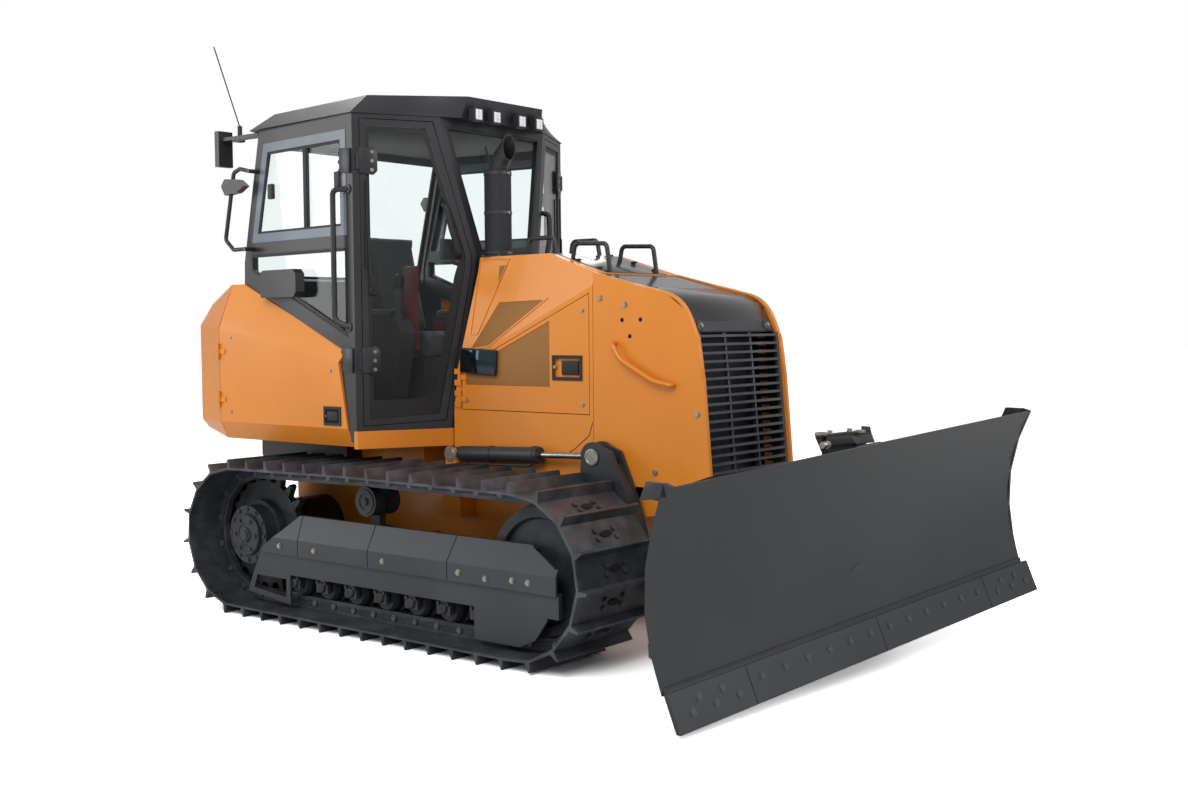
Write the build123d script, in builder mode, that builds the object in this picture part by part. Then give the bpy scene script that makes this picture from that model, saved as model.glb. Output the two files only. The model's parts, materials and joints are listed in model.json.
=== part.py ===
"""Crawler bulldozer: jointed parts in one frame, millimetres, +X forward, +Y left, +Z up.

The ground is z = 0 at the tips of the track grousers.
"""
import math
import os

from build123d import *

os.makedirs("parts", exist_ok=True)

# ---------------------------------------------------------------- sizes
# Stations along X
sprocket_x = -1473.7
idler_x = sprocket_x + 2152.0
carrier_x = sprocket_x + 930.0
arm_pivot_x = sprocket_x + 1980.0
cab_rear_x = sprocket_x - 293.0
cab_pillar_x = sprocket_x + 857.0
cover_rear_x = sprocket_x + 1123.0
cowl_seam_x = sprocket_x + 2100.0
cowl_front_x = sprocket_x + 2800.0
tank_seam_x = sprocket_x - 333.0
tank_rear_x = sprocket_x - 723.0

# Widths
frame_half = 357.7
hood_half = frame_half + 22.3
arm_inner_y = frame_half + 34.3
arm_outer_y = arm_inner_y + 90.0
track_gap = 11.0
shoe_width = 560.0
track_outer_y = arm_outer_y + track_gap + shoe_width
gauge_y = track_outer_y - shoe_width / 2

# Tracks
sprocket_z = 440.0
idler_z = 445.0
carrier_z = 690.0
shoe_count = 41
grouser_height = 48.0
shoe_plate = 12.0
link_height = 65.0
link_width = 34.0
link_centre_y = 62.0
rail_depth = grouser_height + shoe_plate + link_height
pitch_depth = grouser_height + shoe_plate + 0.48 * link_height
grouser_root = 26.0
grouser_tip = 12.0
carrier_r = 80.0
roller_r = 80.0
roller_count = 7
roller_first_x = sprocket_x + 400.0
roller_pitch = 232.0
roller_shaft_r = 28.0
running_gap = 0.05
idler_shaft_r = 38.0
side_plate_y = 119.0
side_plate = 26.0
cross_shaft_x = (sprocket_x + 560.0, sprocket_x + 960.0)
seat_gap = 0.3

# Track frames
frame_beam_half = 125.0
frame_beam_top = 500.0
frame_beam_bottom = 280.0
guard_top_z = 580.0
guard_ridge_z = 455.0
guard_lip_z = 365.0
guard_bottom_z = 252.0
guard_outer_y = gauge_y + 192.0
guard_top_y = gauge_y + 129.0
guard_plate = 14.0

# Main frame
frame_bottom = 330.0
frame_top = 760.0
frame_rear_x = sprocket_x - 250.0
frame_front_x = sprocket_x + 2400.0

# Hood
hood_wall = 22.0
cover_sill_z = 1150.0
cover_top_z = 1990.0
cover_front_top_z = 1882.0
cover_top_half = 275.0
frame_side_bottom = 700.0
cowl_bottom = 822.0
door_gap = 4.0
crease_rear_z = 1385.0
crease_slope = 0.44
engine_door_inset = 60.0
hinge_pin_r = 4.0
knuckle_r = 8.0
knuckle_length = 30.0

# Cab
cab_floor_z = 1060.0
cab_top_z = 2745.0
waist_z = 2000.0
roof_rise = 113.0
pillar_y = 850.0
side_taper = 0.1136
door_slant = 0.533
front_foot_y = 385.0
front_waist_y = 246.0
front_top_y = 427.0
rear_foot_x = cab_pillar_x - 1130.0
rear_waist_x = cab_pillar_x - 1097.0
rear_top_x = cab_pillar_x - 912.0
roof_top_z = cab_top_z + roof_rise
shell_wall = 46.0
glass = 6.0
door_frame = 34.0
pod_inner_y = 700.0
pod_bottom_z = cab_floor_z - 90.0
pod_low_z = pod_bottom_z + 100.0
pod_nose_z = pod_bottom_z + 454.0
pod_high_z = pod_bottom_z + 650.0
pod_top_z = pod_bottom_z + 900.0

# Blade
blade_width = 2898.0
blade_height = 972.0
blade_yaw = 5.5
blade_roll = 3.0
blade_reach = 312.0
blade_drop = 323.5
blade_shift = 26.4
blade_plate = 16.0
edge_plate = 22.0
edge_height = 154.0
edge_lean = 0.4

# C-frame
arm_pivot_z = 380.0
cheek = 20.0
pivot_pin_r = 38.0
upright_x = sprocket_x + 2172.0
upright_pin_z = 965.0
cross_rear_x = sprocket_x + 3030.0
cross_front_x = sprocket_x + 3160.0
cross_bottom = 310.0
cross_top = 460.0
nose_x = sprocket_x + 3215.0
nose_pin_r = 30.0
nose_z = 385.0
tilt_pin_z = 420.0
tilt_pin_r = 40.0

# Lift, angle and tilt cylinders
lift_rear_x = sprocket_x + 1190.0
lift_rear_z = 930.0
lift_y = (arm_inner_y + arm_outer_y) / 2
eye_pin_r = 20.0
eye_width = 42.0
eye_rim = 15.0
barrel_r = 41.0
rod_r = 17.0
angle_base_x = sprocket_x + 2655.0
angle_base_y = arm_outer_y + 48.0
angle_z = 565.0
angle_arm = 400.0
angle_eye_x = 0.0
tilt_z = 985.0
tilt_x = 168.0
tilt_base_y = -80.0
tilt_eye_y = 420.0
tower_x = 76.0
tower_plate = 30.0

# ---------------------------------------------------------------- frames of reference
def side_of(frame, y=0.0):
    """Side plane of a frame at its local y: sketch axes are forward and up."""
    origin = frame.from_local_coords(Vector(0, y, 0))
    return Plane(origin=origin, x_dir=frame.x_dir, z_dir=-frame.y_dir)


def face_of(frame, x=0.0):
    """Cross plane of a frame at its local x: sketch axes are left and up."""
    origin = frame.from_local_coords(Vector(x, 0, 0))
    return Plane(origin=origin, x_dir=frame.y_dir, z_dir=frame.x_dir)


def top_of(frame, z=0.0):
    """Level plane of a frame at its local z: sketch axes are forward and left."""
    origin = frame.from_local_coords(Vector(0, 0, z))
    return Plane(origin=origin, x_dir=frame.x_dir, z_dir=frame.z_dir)


world = Plane.XY
yaw = math.radians(blade_yaw)
roll = math.radians(blade_roll)
yaw_forward = Vector(math.cos(yaw), -math.sin(yaw), 0)
yoke_frame = Plane(origin=(nose_x, 0, 0), x_dir=yaw_forward, z_dir=(0, 0, 1))
blade_left = yoke_frame.y_dir * math.cos(roll) + Vector(0, 0, math.sin(roll))
blade_up = yaw_forward.cross(blade_left)
tilt_pin = yoke_frame.from_local_coords(Vector(blade_reach, 0, tilt_pin_z))
blade_frame = Plane(
    origin=tilt_pin - blade_up * blade_drop + blade_left * blade_shift, x_dir=yaw_forward, z_dir=blade_up)


def export(part, name):
    """Label one node and write its STEP file."""
    part.label = name
    export_step(part, f"parts/{name}.step")


def mirrored(part):
    """The same piece for the machine's other side."""
    return mirror(part, about=Plane.XZ)


# ---------------------------------------------------------------- hinges
def leaf_plate(x, y, reach, depth):
    """Outline of a hinge leaf lying on a side face: from the axis along x by reach."""
    face = y + knuckle_r + seat_gap
    step = math.copysign(16, reach)
    return (
        (x, face - 6), (x, face - seat_gap), (x + step, face - seat_gap), (x + step, face + depth),
        (x + reach, face + depth), (x + reach, face - 6))


def hinge_body(frame, x, y, z, reach, depth=3.0):
    """Fixed half of an upright hinge: two knuckles with the pin and a leaf. Frame y points inwards."""
    with BuildPart() as hinge:
        for low in (z - 1.5 * knuckle_length, z + 0.5 * knuckle_length + seat_gap):
            with BuildSketch(top_of(frame, low)):
                with Locations((x, y)):
                    Circle(knuckle_r)
                Polygon(*leaf_plate(x, y, reach, depth), align=None)
            extrude(amount=knuckle_length - seat_gap)
        with BuildSketch(top_of(frame, z - 1.5 * knuckle_length)):
            with Locations((x, y)):
                Circle(hinge_pin_r)
        extrude(amount=3 * knuckle_length)
    return hinge.part


def hinge_leaf(frame, x, y, z, reach, depth=3.0):
    """Moving half of an upright hinge: the middle knuckle with its leaf. Frame y points inwards."""
    with BuildPart() as hinge:
        with BuildSketch(top_of(frame, z - 0.5 * knuckle_length)):
            with Locations((x, y)):
                Circle(knuckle_r)
            Polygon(*leaf_plate(x, y, reach, depth), align=None)
            with Locations((x, y)):
                Circle(hinge_pin_r + running_gap, mode=Mode.SUBTRACT)
        extrude(amount=knuckle_length)
    return hinge.part


# ---------------------------------------------------------------- track loop
def belt(depth):
    """Arc and run table of the belt at a depth inside the grouser tips."""
    wheels = (
        (sprocket_x, sprocket_z, sprocket_z - depth),
        (carrier_x, carrier_z, carrier_r + rail_depth - depth),
        (idler_x, idler_z, idler_z - depth),
    )
    spans = []
    for i in range(3):
        ax, az, ar = wheels[i]
        bx, bz, br = wheels[(i + 1) % 3]
        gap = math.hypot(bx - ax, bz - az)
        heading = math.atan2(bz - az, bx - ax)
        lean = math.asin((ar - br) / gap)
        normal = heading + math.pi / 2 - lean
        start = (ax + ar * math.cos(normal), az + ar * math.sin(normal))
        end = (bx + br * math.cos(normal), bz + br * math.sin(normal))
        spans.append((normal, start, end))
    return wheels, spans


def shoe_pitch(depth):
    """Length of one shoe along the belt at a depth."""
    wheels, spans = belt(depth)
    total = 0.0
    for i in range(3):
        normal, start, end = spans[i]
        total += math.dist(start, end) + wheels[(i + 1) % 3][2] * ((normal - spans[(i + 1) % 3][0]) % (2 * math.pi))
    return total / shoe_count


def belt_points(depth, count, offsets):
    """Points round the belt: per shoe, one at each (share of pitch, height) offset."""
    wheels, spans = belt(depth)
    pieces = []
    for i in range(3):
        normal, start, end = spans[i]
        pieces.append(("run", start, end, math.dist(start, end), normal))
        after = spans[(i + 1) % 3][0]
        x, z, r = wheels[(i + 1) % 3]
        sweep = (normal - after) % (2 * math.pi)
        pieces.append(("arc", (x, z, r), normal, r * sweep, sweep))
    total = sum(piece[3] for piece in pieces)
    points = []
    for shoe in range(count):
        for share, height in offsets:
            s = total * (shoe + share) / count
            for kind, a, b, length, value in pieces:
                if s > length:
                    s -= length
                    continue
                if kind == "run":
                    t = s / length
                    x = a[0] + (b[0] - a[0]) * t + height * math.cos(value)
                    z = a[1] + (b[1] - a[1]) * t + height * math.sin(value)
                else:
                    angle = b - s / a[2]
                    x = a[0] + (a[2] + height) * math.cos(angle)
                    z = a[1] + (a[2] + height) * math.sin(angle)
                points.append((x, z))
                break
    return points


def make_track():
    """One fixed track loop: shoe ring with a grouser per shoe, and two rail rings."""
    root = grouser_root / 157.0
    tip = grouser_tip / 157.0
    inner = grouser_height + shoe_plate
    ring = (
        (0.0, shoe_plate),
        (0.01, shoe_plate + grouser_height),
        (tip, shoe_plate + grouser_height),
        (root, shoe_plate),
        (0.97, shoe_plate),
    )
    with BuildPart() as track:
        with BuildSketch(side_of(world, -gauge_y)):
            Polygon(*belt_points(inner, shoe_count, ring), align=None)
            Polygon(*belt_points(inner, shoe_count, ((0.0, 0.0),)), align=None, mode=Mode.SUBTRACT)
        extrude(amount=shoe_width / 2, both=True)
        for side in (-1, 1):
            with BuildSketch(side_of(world, -gauge_y + side * link_centre_y)):
                Polygon(*belt_points(rail_depth, shoe_count, ((0.0, link_height),)), align=None)
                Polygon(*belt_points(rail_depth, shoe_count, ((0.0, 0.0),)), align=None, mode=Mode.SUBTRACT)
            extrude(amount=link_width / 2, both=True)
    return track.part


# ---------------------------------------------------------------- undercarriage
def roller_stations():
    """X of each bottom roller."""
    return [roller_first_x + i * roller_pitch for i in range(roller_count)]


def make_rollers():
    """Bottom rollers of one side, flanged spools on through shafts, and the carrier roller."""
    axis_z = rail_depth + roller_r + seat_gap
    with BuildPart() as rollers:
        for x in roller_stations():
            with BuildSketch(Plane(origin=(x, -gauge_y, axis_z), x_dir=(0, 1, 0), z_dir=(-1, 0, 0))):
                Polygon(
                    (0, 0), (150, 0), (150, roller_shaft_r), (108, roller_shaft_r),
                    (108, roller_r - 12), (82, roller_r), (44, roller_r), (40, roller_r + 14),
                    (30, roller_r + 14), (26, roller_r - 14), (0, roller_r - 14), align=None)
            half = Axis((x, -gauge_y, axis_z), (0, 1, 0))
            revolve(axis=half)
        mirror(about=Plane.XZ.offset(gauge_y))
        for side in (-1, 1):
            with BuildSketch(side_of(world, -gauge_y + side * 22)):
                with Locations((carrier_x, carrier_z)):
                    Circle(carrier_r - seat_gap)
            extrude(amount=-side * 66)
    return rollers.part


def make_idler():
    """Front idler wheel with its rim, web, hub and shaft."""
    r = (idler_z - rail_depth) * math.cos(shoe_pitch(rail_depth) / (idler_z - rail_depth) / 2) - seat_gap
    with BuildPart() as idler:
        with BuildSketch(Plane(origin=(idler_x, -gauge_y, idler_z), x_dir=(0, 1, 0), z_dir=(-1, 0, 0))):
            Polygon(
                (0, 0), (side_plate_y + side_plate + 0.5, 0), (side_plate_y + side_plate + 0.5, idler_shaft_r),
                (side_plate_y - 2, idler_shaft_r), (side_plate_y - 2, 95), (70, 105), (60, r - 60),
                (84, r - 48), (84, r), (38, r), (34, r + 18), (0, r + 18), align=None)
        revolve(axis=Axis((idler_x, -gauge_y, idler_z), (0, 1, 0)))
        mirror(about=Plane.XZ.offset(gauge_y))
    return idler.part


def make_sprocket():
    """Rear drive: toothed sprocket, hub drum and the housing against the main frame."""
    tooth_r = sprocket_z - pitch_depth + 12.0
    root_r = sprocket_z - rail_depth - 18.0
    teeth = 21
    with BuildPart() as drive:
        with BuildSketch(side_of(world, -gauge_y)):
            with Locations((sprocket_x, sprocket_z)):
                Circle(root_r)
        extrude(amount=22, both=True)
        with BuildSketch(side_of(world, -gauge_y)):
            with Locations((sprocket_x, sprocket_z)):
                with PolarLocations(0, teeth):
                    Polygon((root_r - 8, -26), (tooth_r, -10), (tooth_r, 10), (root_r - 8, 26), align=None)
        extrude(amount=20, both=True)
        rings = (
            # outer y, inner y, radius
            (frame_half, gauge_y - 40, 175.0),
            (gauge_y, gauge_y + 70, 190.0),
            (gauge_y + 70, gauge_y + 150, 165.0),
            (gauge_y + 150, gauge_y + 165, 120.0),
            (gauge_y + 165, gauge_y + 185, 30.0),
            (gauge_y - 40, gauge_y, 150.0),
        )
        for inner, outer, radius in rings:
            with BuildSketch(side_of(world, -inner)):
                with Locations((sprocket_x, sprocket_z)):
                    Circle(radius)
            extrude(amount=outer - inner)
    return drive.part


def make_track_frame():
    """Track frame: beam, side plates with roller saddles and idler arms, and cross shafts."""
    axis_z = rail_depth + roller_r + seat_gap
    beam_rear = sprocket_x + 376.0
    beam_front = idler_x - 425.0
    plate_rear = roller_stations()[0] - 48
    plate_front = roller_stations()[-1] + 48
    with BuildPart() as beam:
        with BuildSketch(side_of(world, -gauge_y)):
            Polygon(
                (beam_rear, axis_z + 115), (beam_rear, frame_beam_top), (beam_front, frame_beam_top),
                (beam_front + 60, frame_beam_top - 70), (beam_front + 60, axis_z + 115), align=None)
        extrude(amount=frame_beam_half, both=True)
        for side in (-1, 1):
            with BuildSketch(side_of(world, -gauge_y + side * (side_plate_y + side_plate / 2))):
                Polygon(
                    (plate_rear, axis_z + 50), (plate_rear, frame_beam_top - 10), (beam_front, frame_beam_top - 10),
                    (beam_front, idler_z + 50), (idler_x + 90, idler_z + 50), (idler_x + 90, idler_z - 60),
                    (beam_front + 80, idler_z - 60), (plate_front, axis_z + 50), align=None)
                with Locations(*[(x, axis_z + 15) for x in roller_stations()]):
                    Rectangle(92, 90)
                with Locations(*[(x, axis_z) for x in roller_stations()]):
                    Circle(roller_shaft_r + running_gap, mode=Mode.SUBTRACT)
                with Locations((idler_x, idler_z)):
                    Circle(idler_shaft_r + running_gap, mode=Mode.SUBTRACT)
            extrude(amount=side_plate / 2, both=True)
        with BuildSketch(side_of(world, -gauge_y)):
            with Locations((carrier_x, (frame_beam_top + carrier_z) / 2)):
                Rectangle(70, carrier_z - frame_beam_top + 40)
        extrude(amount=22 - seat_gap, both=True)
        for x in cross_shaft_x:
            with BuildSketch(side_of(world, -frame_half - seat_gap)):
                with Locations((x, 420)):
                    Circle(58)
            extrude(amount=gauge_y - frame_half)
    return beam.part


def make_guard():
    """Rock guard: sloping faceted cover over the outer face of the track frame."""
    rear = sprocket_x + 180.0
    front = idler_x + 190.0
    inner = gauge_y + side_plate_y + side_plate + seat_gap
    with BuildPart() as guard:
        with BuildSketch(face_of(world, rear)):
            Polygon(
                (-inner, guard_bottom_z), (-guard_outer_y + 20, guard_bottom_z),
                (-guard_outer_y + 20, guard_lip_z), (-guard_outer_y, guard_lip_z),
                (-guard_outer_y, guard_ridge_z), (-guard_top_y, guard_top_z), (-guard_top_y + 26, guard_top_z),
                (-guard_top_y + 26, guard_top_z - guard_plate), (-guard_top_y - 4, guard_top_z - guard_plate),
                (-guard_outer_y + guard_plate, guard_ridge_z - 6), (-guard_outer_y + guard_plate, guard_lip_z + 10),
                (-inner, guard_lip_z + 10), align=None)
        extrude(amount=front - rear)
        with BuildSketch(side_of(world, -guard_outer_y - 40)):
            Polygon(
                (front - 190, guard_ridge_z + 260), (front - 190, guard_ridge_z + 118),
                (front - 10, guard_ridge_z + 30), (front + 80, guard_ridge_z + 90),
                (front + 80, guard_ridge_z + 260), align=None)
            Polygon(
                (rear - 10, guard_ridge_z + 260), (rear - 10, guard_lip_z + 20),
                (rear + 140, guard_ridge_z + 30), (rear + 260, guard_top_z + 1),
                (rear + 260, guard_ridge_z + 260), align=None)
        extrude(amount=-300, mode=Mode.SUBTRACT)
        with BuildSketch(side_of(world, -guard_outer_y + 20)):
            Polygon(
                (sprocket_x + 1800, guard_bottom_z + 2), (sprocket_x + 2272, guard_bottom_z + 2),
                (sprocket_x + 2265, guard_bottom_z - 20), (sprocket_x + 2195, guard_bottom_z - 116),
                (sprocket_x + 2095, guard_bottom_z - 160), (sprocket_x + 1800, guard_bottom_z - 160), align=None)
            Polygon(
                (rear - 28, guard_lip_z + 9), (rear - 108, guard_bottom_z - 18), (rear - 156, guard_bottom_z - 127),
                (rear + 216, guard_bottom_z - 165), (rear + 216, guard_bottom_z + 2), (rear + 20, guard_bottom_z + 2),
                (rear + 20, guard_lip_z + 9), align=None)
            Polygon(
                (rear - 72, guard_bottom_z - 26), (rear - 103, guard_bottom_z - 102), (rear + 182, guard_bottom_z - 128),
                (rear + 182, guard_bottom_z - 26), align=None, mode=Mode.SUBTRACT)
        extrude(amount=-16)
        with BuildSketch(side_of(world, -guard_outer_y + 20)):
            Polygon(
                (rear - 150, guard_bottom_z - 114), (rear - 156, guard_bottom_z - 127), (rear + 216, guard_bottom_z - 165),
                (rear + 216, guard_bottom_z - 151), align=None)
        extrude(amount=-70)
    return guard.part


# ---------------------------------------------------------------- main frame
def lift_bracket():
    """Bracket and pin for the right lift cylinder's base eye."""
    base_low = frame_side_bottom - 110
    base_high = frame_side_bottom - 8
    with BuildPart() as bracket:
        with BuildSketch(side_of(world, -frame_half + 6)):
            Polygon(
                (lift_rear_x - 70, base_low), (lift_rear_x - 70, base_high), (lift_rear_x + 70, base_high),
                (lift_rear_x + 70, base_low), align=None)
        extrude(amount=arm_outer_y - frame_half + 6)
        for low in (arm_inner_y - 8, lift_y + eye_width / 2 + seat_gap):
            with BuildSketch(side_of(world, -low)):
                Polygon(
                    (lift_rear_x - 70, base_low), (lift_rear_x - 34, lift_rear_z), (lift_rear_x + 34, lift_rear_z),
                    (lift_rear_x + 70, base_low), align=None)
                with Locations((lift_rear_x, lift_rear_z)):
                    Circle(34)
            extrude(amount=min(arm_outer_y, lift_y - eye_width / 2 - seat_gap if low < lift_y else arm_outer_y) - low)
        with BuildSketch(side_of(world, -arm_inner_y + 8)):
            with Locations((lift_rear_x, lift_rear_z)):
                Circle(eye_pin_r)
        extrude(amount=arm_outer_y - arm_inner_y + 8)
    return bracket.part


def make_main_frame():
    """Belly frame between the tracks with the cylinder brackets and the C-frame trunnions."""
    with BuildPart() as frame:
        with BuildSketch(side_of(world)):
            Polygon(
                (frame_rear_x, frame_bottom + 60), (frame_rear_x, cab_floor_z - 60),
                (cab_pillar_x, cab_floor_z - 60), (cab_pillar_x, frame_top),
                (sprocket_x + 2680, frame_top), (sprocket_x + 2680, frame_top - 30),
                (frame_front_x, frame_top - 90), (frame_front_x - 140, frame_bottom),
                (frame_rear_x + 120, frame_bottom), align=None)
        extrude(amount=frame_half, both=True)
        for side in (-1, 1):
            with BuildSketch(side_of(world, side * frame_half)):
                with Locations((arm_pivot_x, arm_pivot_z)):
                    Circle(pivot_pin_r)
            extrude(amount=-side * (arm_outer_y + 20 - frame_half))
            with BuildSketch(side_of(world, side * (arm_outer_y + 4))):
                with Locations((arm_pivot_x, arm_pivot_z)):
                    Circle(pivot_pin_r + 10)
            extrude(amount=-side * 10)
            bracket = lift_bracket()
            add(bracket if side < 0 else mirrored(bracket))
    return frame.part


def make_drawbar():
    """Rear drawbar block with a pin hole."""
    with BuildPart() as drawbar:
        with BuildSketch(top_of(world, frame_bottom + 90)):
            Polygon(
                (frame_rear_x, -150), (frame_rear_x, 150), (frame_rear_x - 130, 90),
                (frame_rear_x - 190, 60), (frame_rear_x - 190, -60), (frame_rear_x - 130, -90), align=None)
            with Locations((frame_rear_x - 120, 0)):
                Circle(22, mode=Mode.SUBTRACT)
        extrude(amount=60)
    return drawbar.part


# ---------------------------------------------------------------- hood
engine_hinge_x = cover_rear_x + engine_door_inset - 9
engine_hinge_z = (1222.0, 1340.0)
hinge_y = hood_half + knuckle_r + seat_gap


def crease_z(x):
    """Height of the cover's shoulder crease at a station."""
    return crease_rear_z + (x - cover_rear_x) * crease_slope


def cover_shape(inset):
    """Engine cover block, faceted at the shoulders, drawn in by an inset."""
    rear = cover_rear_x + inset
    with BuildPart() as shape:
        with BuildSketch(side_of(world)):
            Polygon(
                (rear, frame_side_bottom - 0), (rear, cover_sill_z), (rear + 115, cover_top_z - inset),
                (rear + 640, cover_top_z - inset), (cowl_seam_x, cover_front_top_z - inset),
                (cowl_seam_x, frame_side_bottom), align=None)
        extrude(amount=hood_half - inset, both=True)
        for side in (-1, 1):
            low = Vector(cover_rear_x, side * (hood_half - inset), crease_z(cover_rear_x) - inset)
            front = Vector(cowl_seam_x, side * (hood_half - inset), crease_z(cowl_seam_x) - inset)
            high = Vector(cover_rear_x + 130, side * (cover_top_half - inset), cover_top_z - inset)
            normal = (front - low).cross(high - low) * side * -1
            split(bisect_by=Plane(origin=low, z_dir=normal), keep=Keep.BOTTOM if normal.Z > 0 else Keep.TOP)
    return shape.part


def door_outline(gap):
    """Engine door outline on the side plane, drawn in by a gap."""
    rear = cover_rear_x + engine_door_inset + gap
    front = cowl_seam_x - 22 - gap
    foot = cover_sill_z + 14 + gap
    return ((rear, foot), (front, foot), (front, crease_z(front) - 25 - gap), (rear, crease_z(rear) - 25 - gap))


def make_engine_cover():
    """Cover shell over the engine with an opening each side for the doors."""
    with BuildPart() as cover:
        add(cover_shape(0))
        add(cover_shape(hood_wall), mode=Mode.SUBTRACT)
        with BuildSketch(side_of(world)):
            with Locations(((cover_rear_x + cowl_seam_x) / 2, frame_side_bottom)):
                Rectangle(cowl_seam_x - cover_rear_x + 200, 2 * (frame_top - frame_side_bottom + seat_gap))
        extrude(amount=frame_half + seat_gap, both=True, mode=Mode.SUBTRACT)
        with BuildSketch(side_of(world)):
            Polygon(*door_outline(0), align=None)
        extrude(amount=hood_half + 10, both=True, mode=Mode.SUBTRACT)
        for z in engine_hinge_z:
            hinge = hinge_body(world, engine_hinge_x, -hinge_y, z, -42)
            add(hinge)
            add(mirrored(hinge))
    return cover.part


def make_engine_door():
    """Engine side door with a recessed mesh field and a latch recess."""
    with BuildPart() as door:
        with BuildSketch(side_of(world, -hood_half + hood_wall)):
            Polygon(*door_outline(door_gap), align=None)
        extrude(amount=hood_wall)
        with BuildSketch(side_of(world, -hood_half)):
            Polygon(
                (cover_rear_x + 90, 1300), (cover_rear_x + 90, 1350), (cover_rear_x + 230, 1440),
                (cover_rear_x + 690, 1640), (cover_rear_x + 690, 1300), align=None)
        extrude(amount=-6, mode=Mode.SUBTRACT)
        with BuildSketch(side_of(world, -hood_half)):
            with Locations((cover_rear_x + 810, 1400)):
                Rectangle(170, 100)
        extrude(amount=-10, mode=Mode.SUBTRACT)
        for z in engine_hinge_z:
            add(hinge_leaf(world, engine_hinge_x, -hinge_y, z, 48))
    return door.part


def make_cowl():
    """Front cowl: two side cheeks joined under the top, open to the grille."""
    with BuildPart() as cowl:
        for side in (-1, 1):
            with BuildSketch(side_of(world, side * hood_half)):
                Polygon(
                    (cowl_seam_x + 3, cover_front_top_z), (cowl_seam_x + 440, 1774),
                    (cowl_seam_x + 580, 1676), (cowl_seam_x + 638, 1552), (cowl_seam_x + 668, 1355),
                    (cowl_seam_x + 706, 900), (cowl_seam_x + 530, 840), (cowl_seam_x + 300, cowl_bottom),
                    (cowl_seam_x + 3, cowl_bottom), align=None)
            extrude(amount=side * hood_wall)
    return cowl.part


def make_hood_top():
    """Sloping top sheet of the front cowl with its rounded front edge."""
    with BuildPart() as top:
        with BuildSketch(side_of(world)):
            Polygon(
                (cowl_seam_x + 3, cover_front_top_z - 6), (cowl_seam_x + 430, 1766),
                (cowl_seam_x + 560, 1668), (cowl_seam_x + 600, 1580), (cowl_seam_x + 560, 1560),
                (cowl_seam_x + 530, 1640), (cowl_seam_x + 410, 1740), (cowl_seam_x + 3, cover_front_top_z - 32),
                align=None)
        extrude(amount=hood_half - hood_wall, both=True)
    return top.part


def make_grille():
    """Grille of level bars on two uprights inside a frame."""
    lean = (cowl_seam_x + 695 - (cowl_seam_x + 640)) / (1552 - 900)
    with BuildPart() as grille:
        for side in (-1, 1):
            with BuildSketch(side_of(world, side * (hood_half - hood_wall))):
                Polygon(
                    (cowl_seam_x + 610, 1575), (cowl_seam_x + 625, 1575), (cowl_seam_x + 650, 1355),
                    (cowl_seam_x + 690, 890), (cowl_seam_x + 660, 890), align=None)
            extrude(amount=side * 20)
            with BuildSketch(side_of(world, side * 120)):
                Polygon(
                    (cowl_seam_x + 600, 1575), (cowl_seam_x + 612, 1575), (cowl_seam_x + 636, 1355),
                    (cowl_seam_x + 676, 890), (cowl_seam_x + 655, 890), align=None)
            extrude(amount=side * 14)
        for i in range(17):
            z = 905 + i * 41.0
            x = cowl_seam_x + 690 - (z - 890) * 0.098
            with BuildSketch(side_of(world)):
                with Locations((x - 10, z)):
                    Rectangle(26, 12)
            extrude(amount=hood_half - hood_wall - 4, both=True)
    return grille.part


# ---------------------------------------------------------------- engine bay
def make_engine():
    """Engine as one plain block."""
    with BuildPart() as engine:
        with BuildSketch(top_of(world, frame_top + seat_gap)):
            with Locations((cover_rear_x + 500, 0)):
                Rectangle(760, 460)
        extrude(amount=860)
    return engine.part


def make_radiator():
    """Radiator core behind the grille."""
    with BuildPart() as radiator:
        with BuildSketch(top_of(world, frame_top + seat_gap)):
            with Locations((cowl_seam_x + 420, 0)):
                Rectangle(120, 2 * (hood_half - hood_wall - seat_gap))
        extrude(amount=cowl_bottom - frame_top + 840)
    return radiator.part


def make_exhaust():
    """Exhaust stack: guard tube and curved outlet."""
    x = cover_rear_x + 165
    y = -190.0
    bend_z = cover_top_z + 440
    with BuildPart() as stack:
        with BuildLine() as path:
            Line((x, y, bend_z - 30), (x, y, bend_z))
            TangentArc((x, y, bend_z), (x + 44, y, bend_z + 106), tangent=(0, 0, 1))
            Line((x + 44, y, bend_z + 106), (x + 144, y, bend_z + 206))
        with BuildSketch(Plane(origin=(x, y, bend_z - 30), z_dir=(0, 0, 1))):
            Circle(52)
            Circle(46, mode=Mode.SUBTRACT)
        sweep(path=path)
        split(bisect_by=Plane(origin=(x + 87, y, 0), z_dir=(1, 0, 0)), keep=Keep.BOTTOM)
        with BuildSketch(top_of(world, cover_top_z)):
            with Locations((x, y)):
                Circle(72)
        extrude(amount=468)
    return stack.part


# ---------------------------------------------------------------- rear body
tank_section = (
    # half width, height of each corner at the seam, then at the rear face
    (800.0, pod_bottom_z, 655.0, pod_bottom_z + 40),
    (850.0, pod_low_z, 700.0, pod_low_z - 8),
    (850.0, pod_high_z, 700.0, pod_high_z + 12),
    (750.0, pod_top_z, 610.0, pod_top_z - 110),
)


def make_tank():
    """Rear tank: faceted block tapering to the rear face."""
    front = [(y, z) for y, z, _, _ in tank_section]
    rear = [(y, z) for _, _, y, z in tank_section]
    with BuildPart() as tank:
        for x, corners in ((tank_seam_x, front), (tank_rear_x, rear)):
            with BuildSketch(face_of(world, x)):
                Polygon(*corners, *[(-y, z) for y, z in reversed(corners)], align=None)
        loft(ruled=True)
        for z in service_hinge_z:
            hinge = hinge_body(world, service_hinge_x, -service_hinge_y, z, -30, depth=18.0)
            add(hinge)
            add(mirrored(hinge))
    return tank.part


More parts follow.
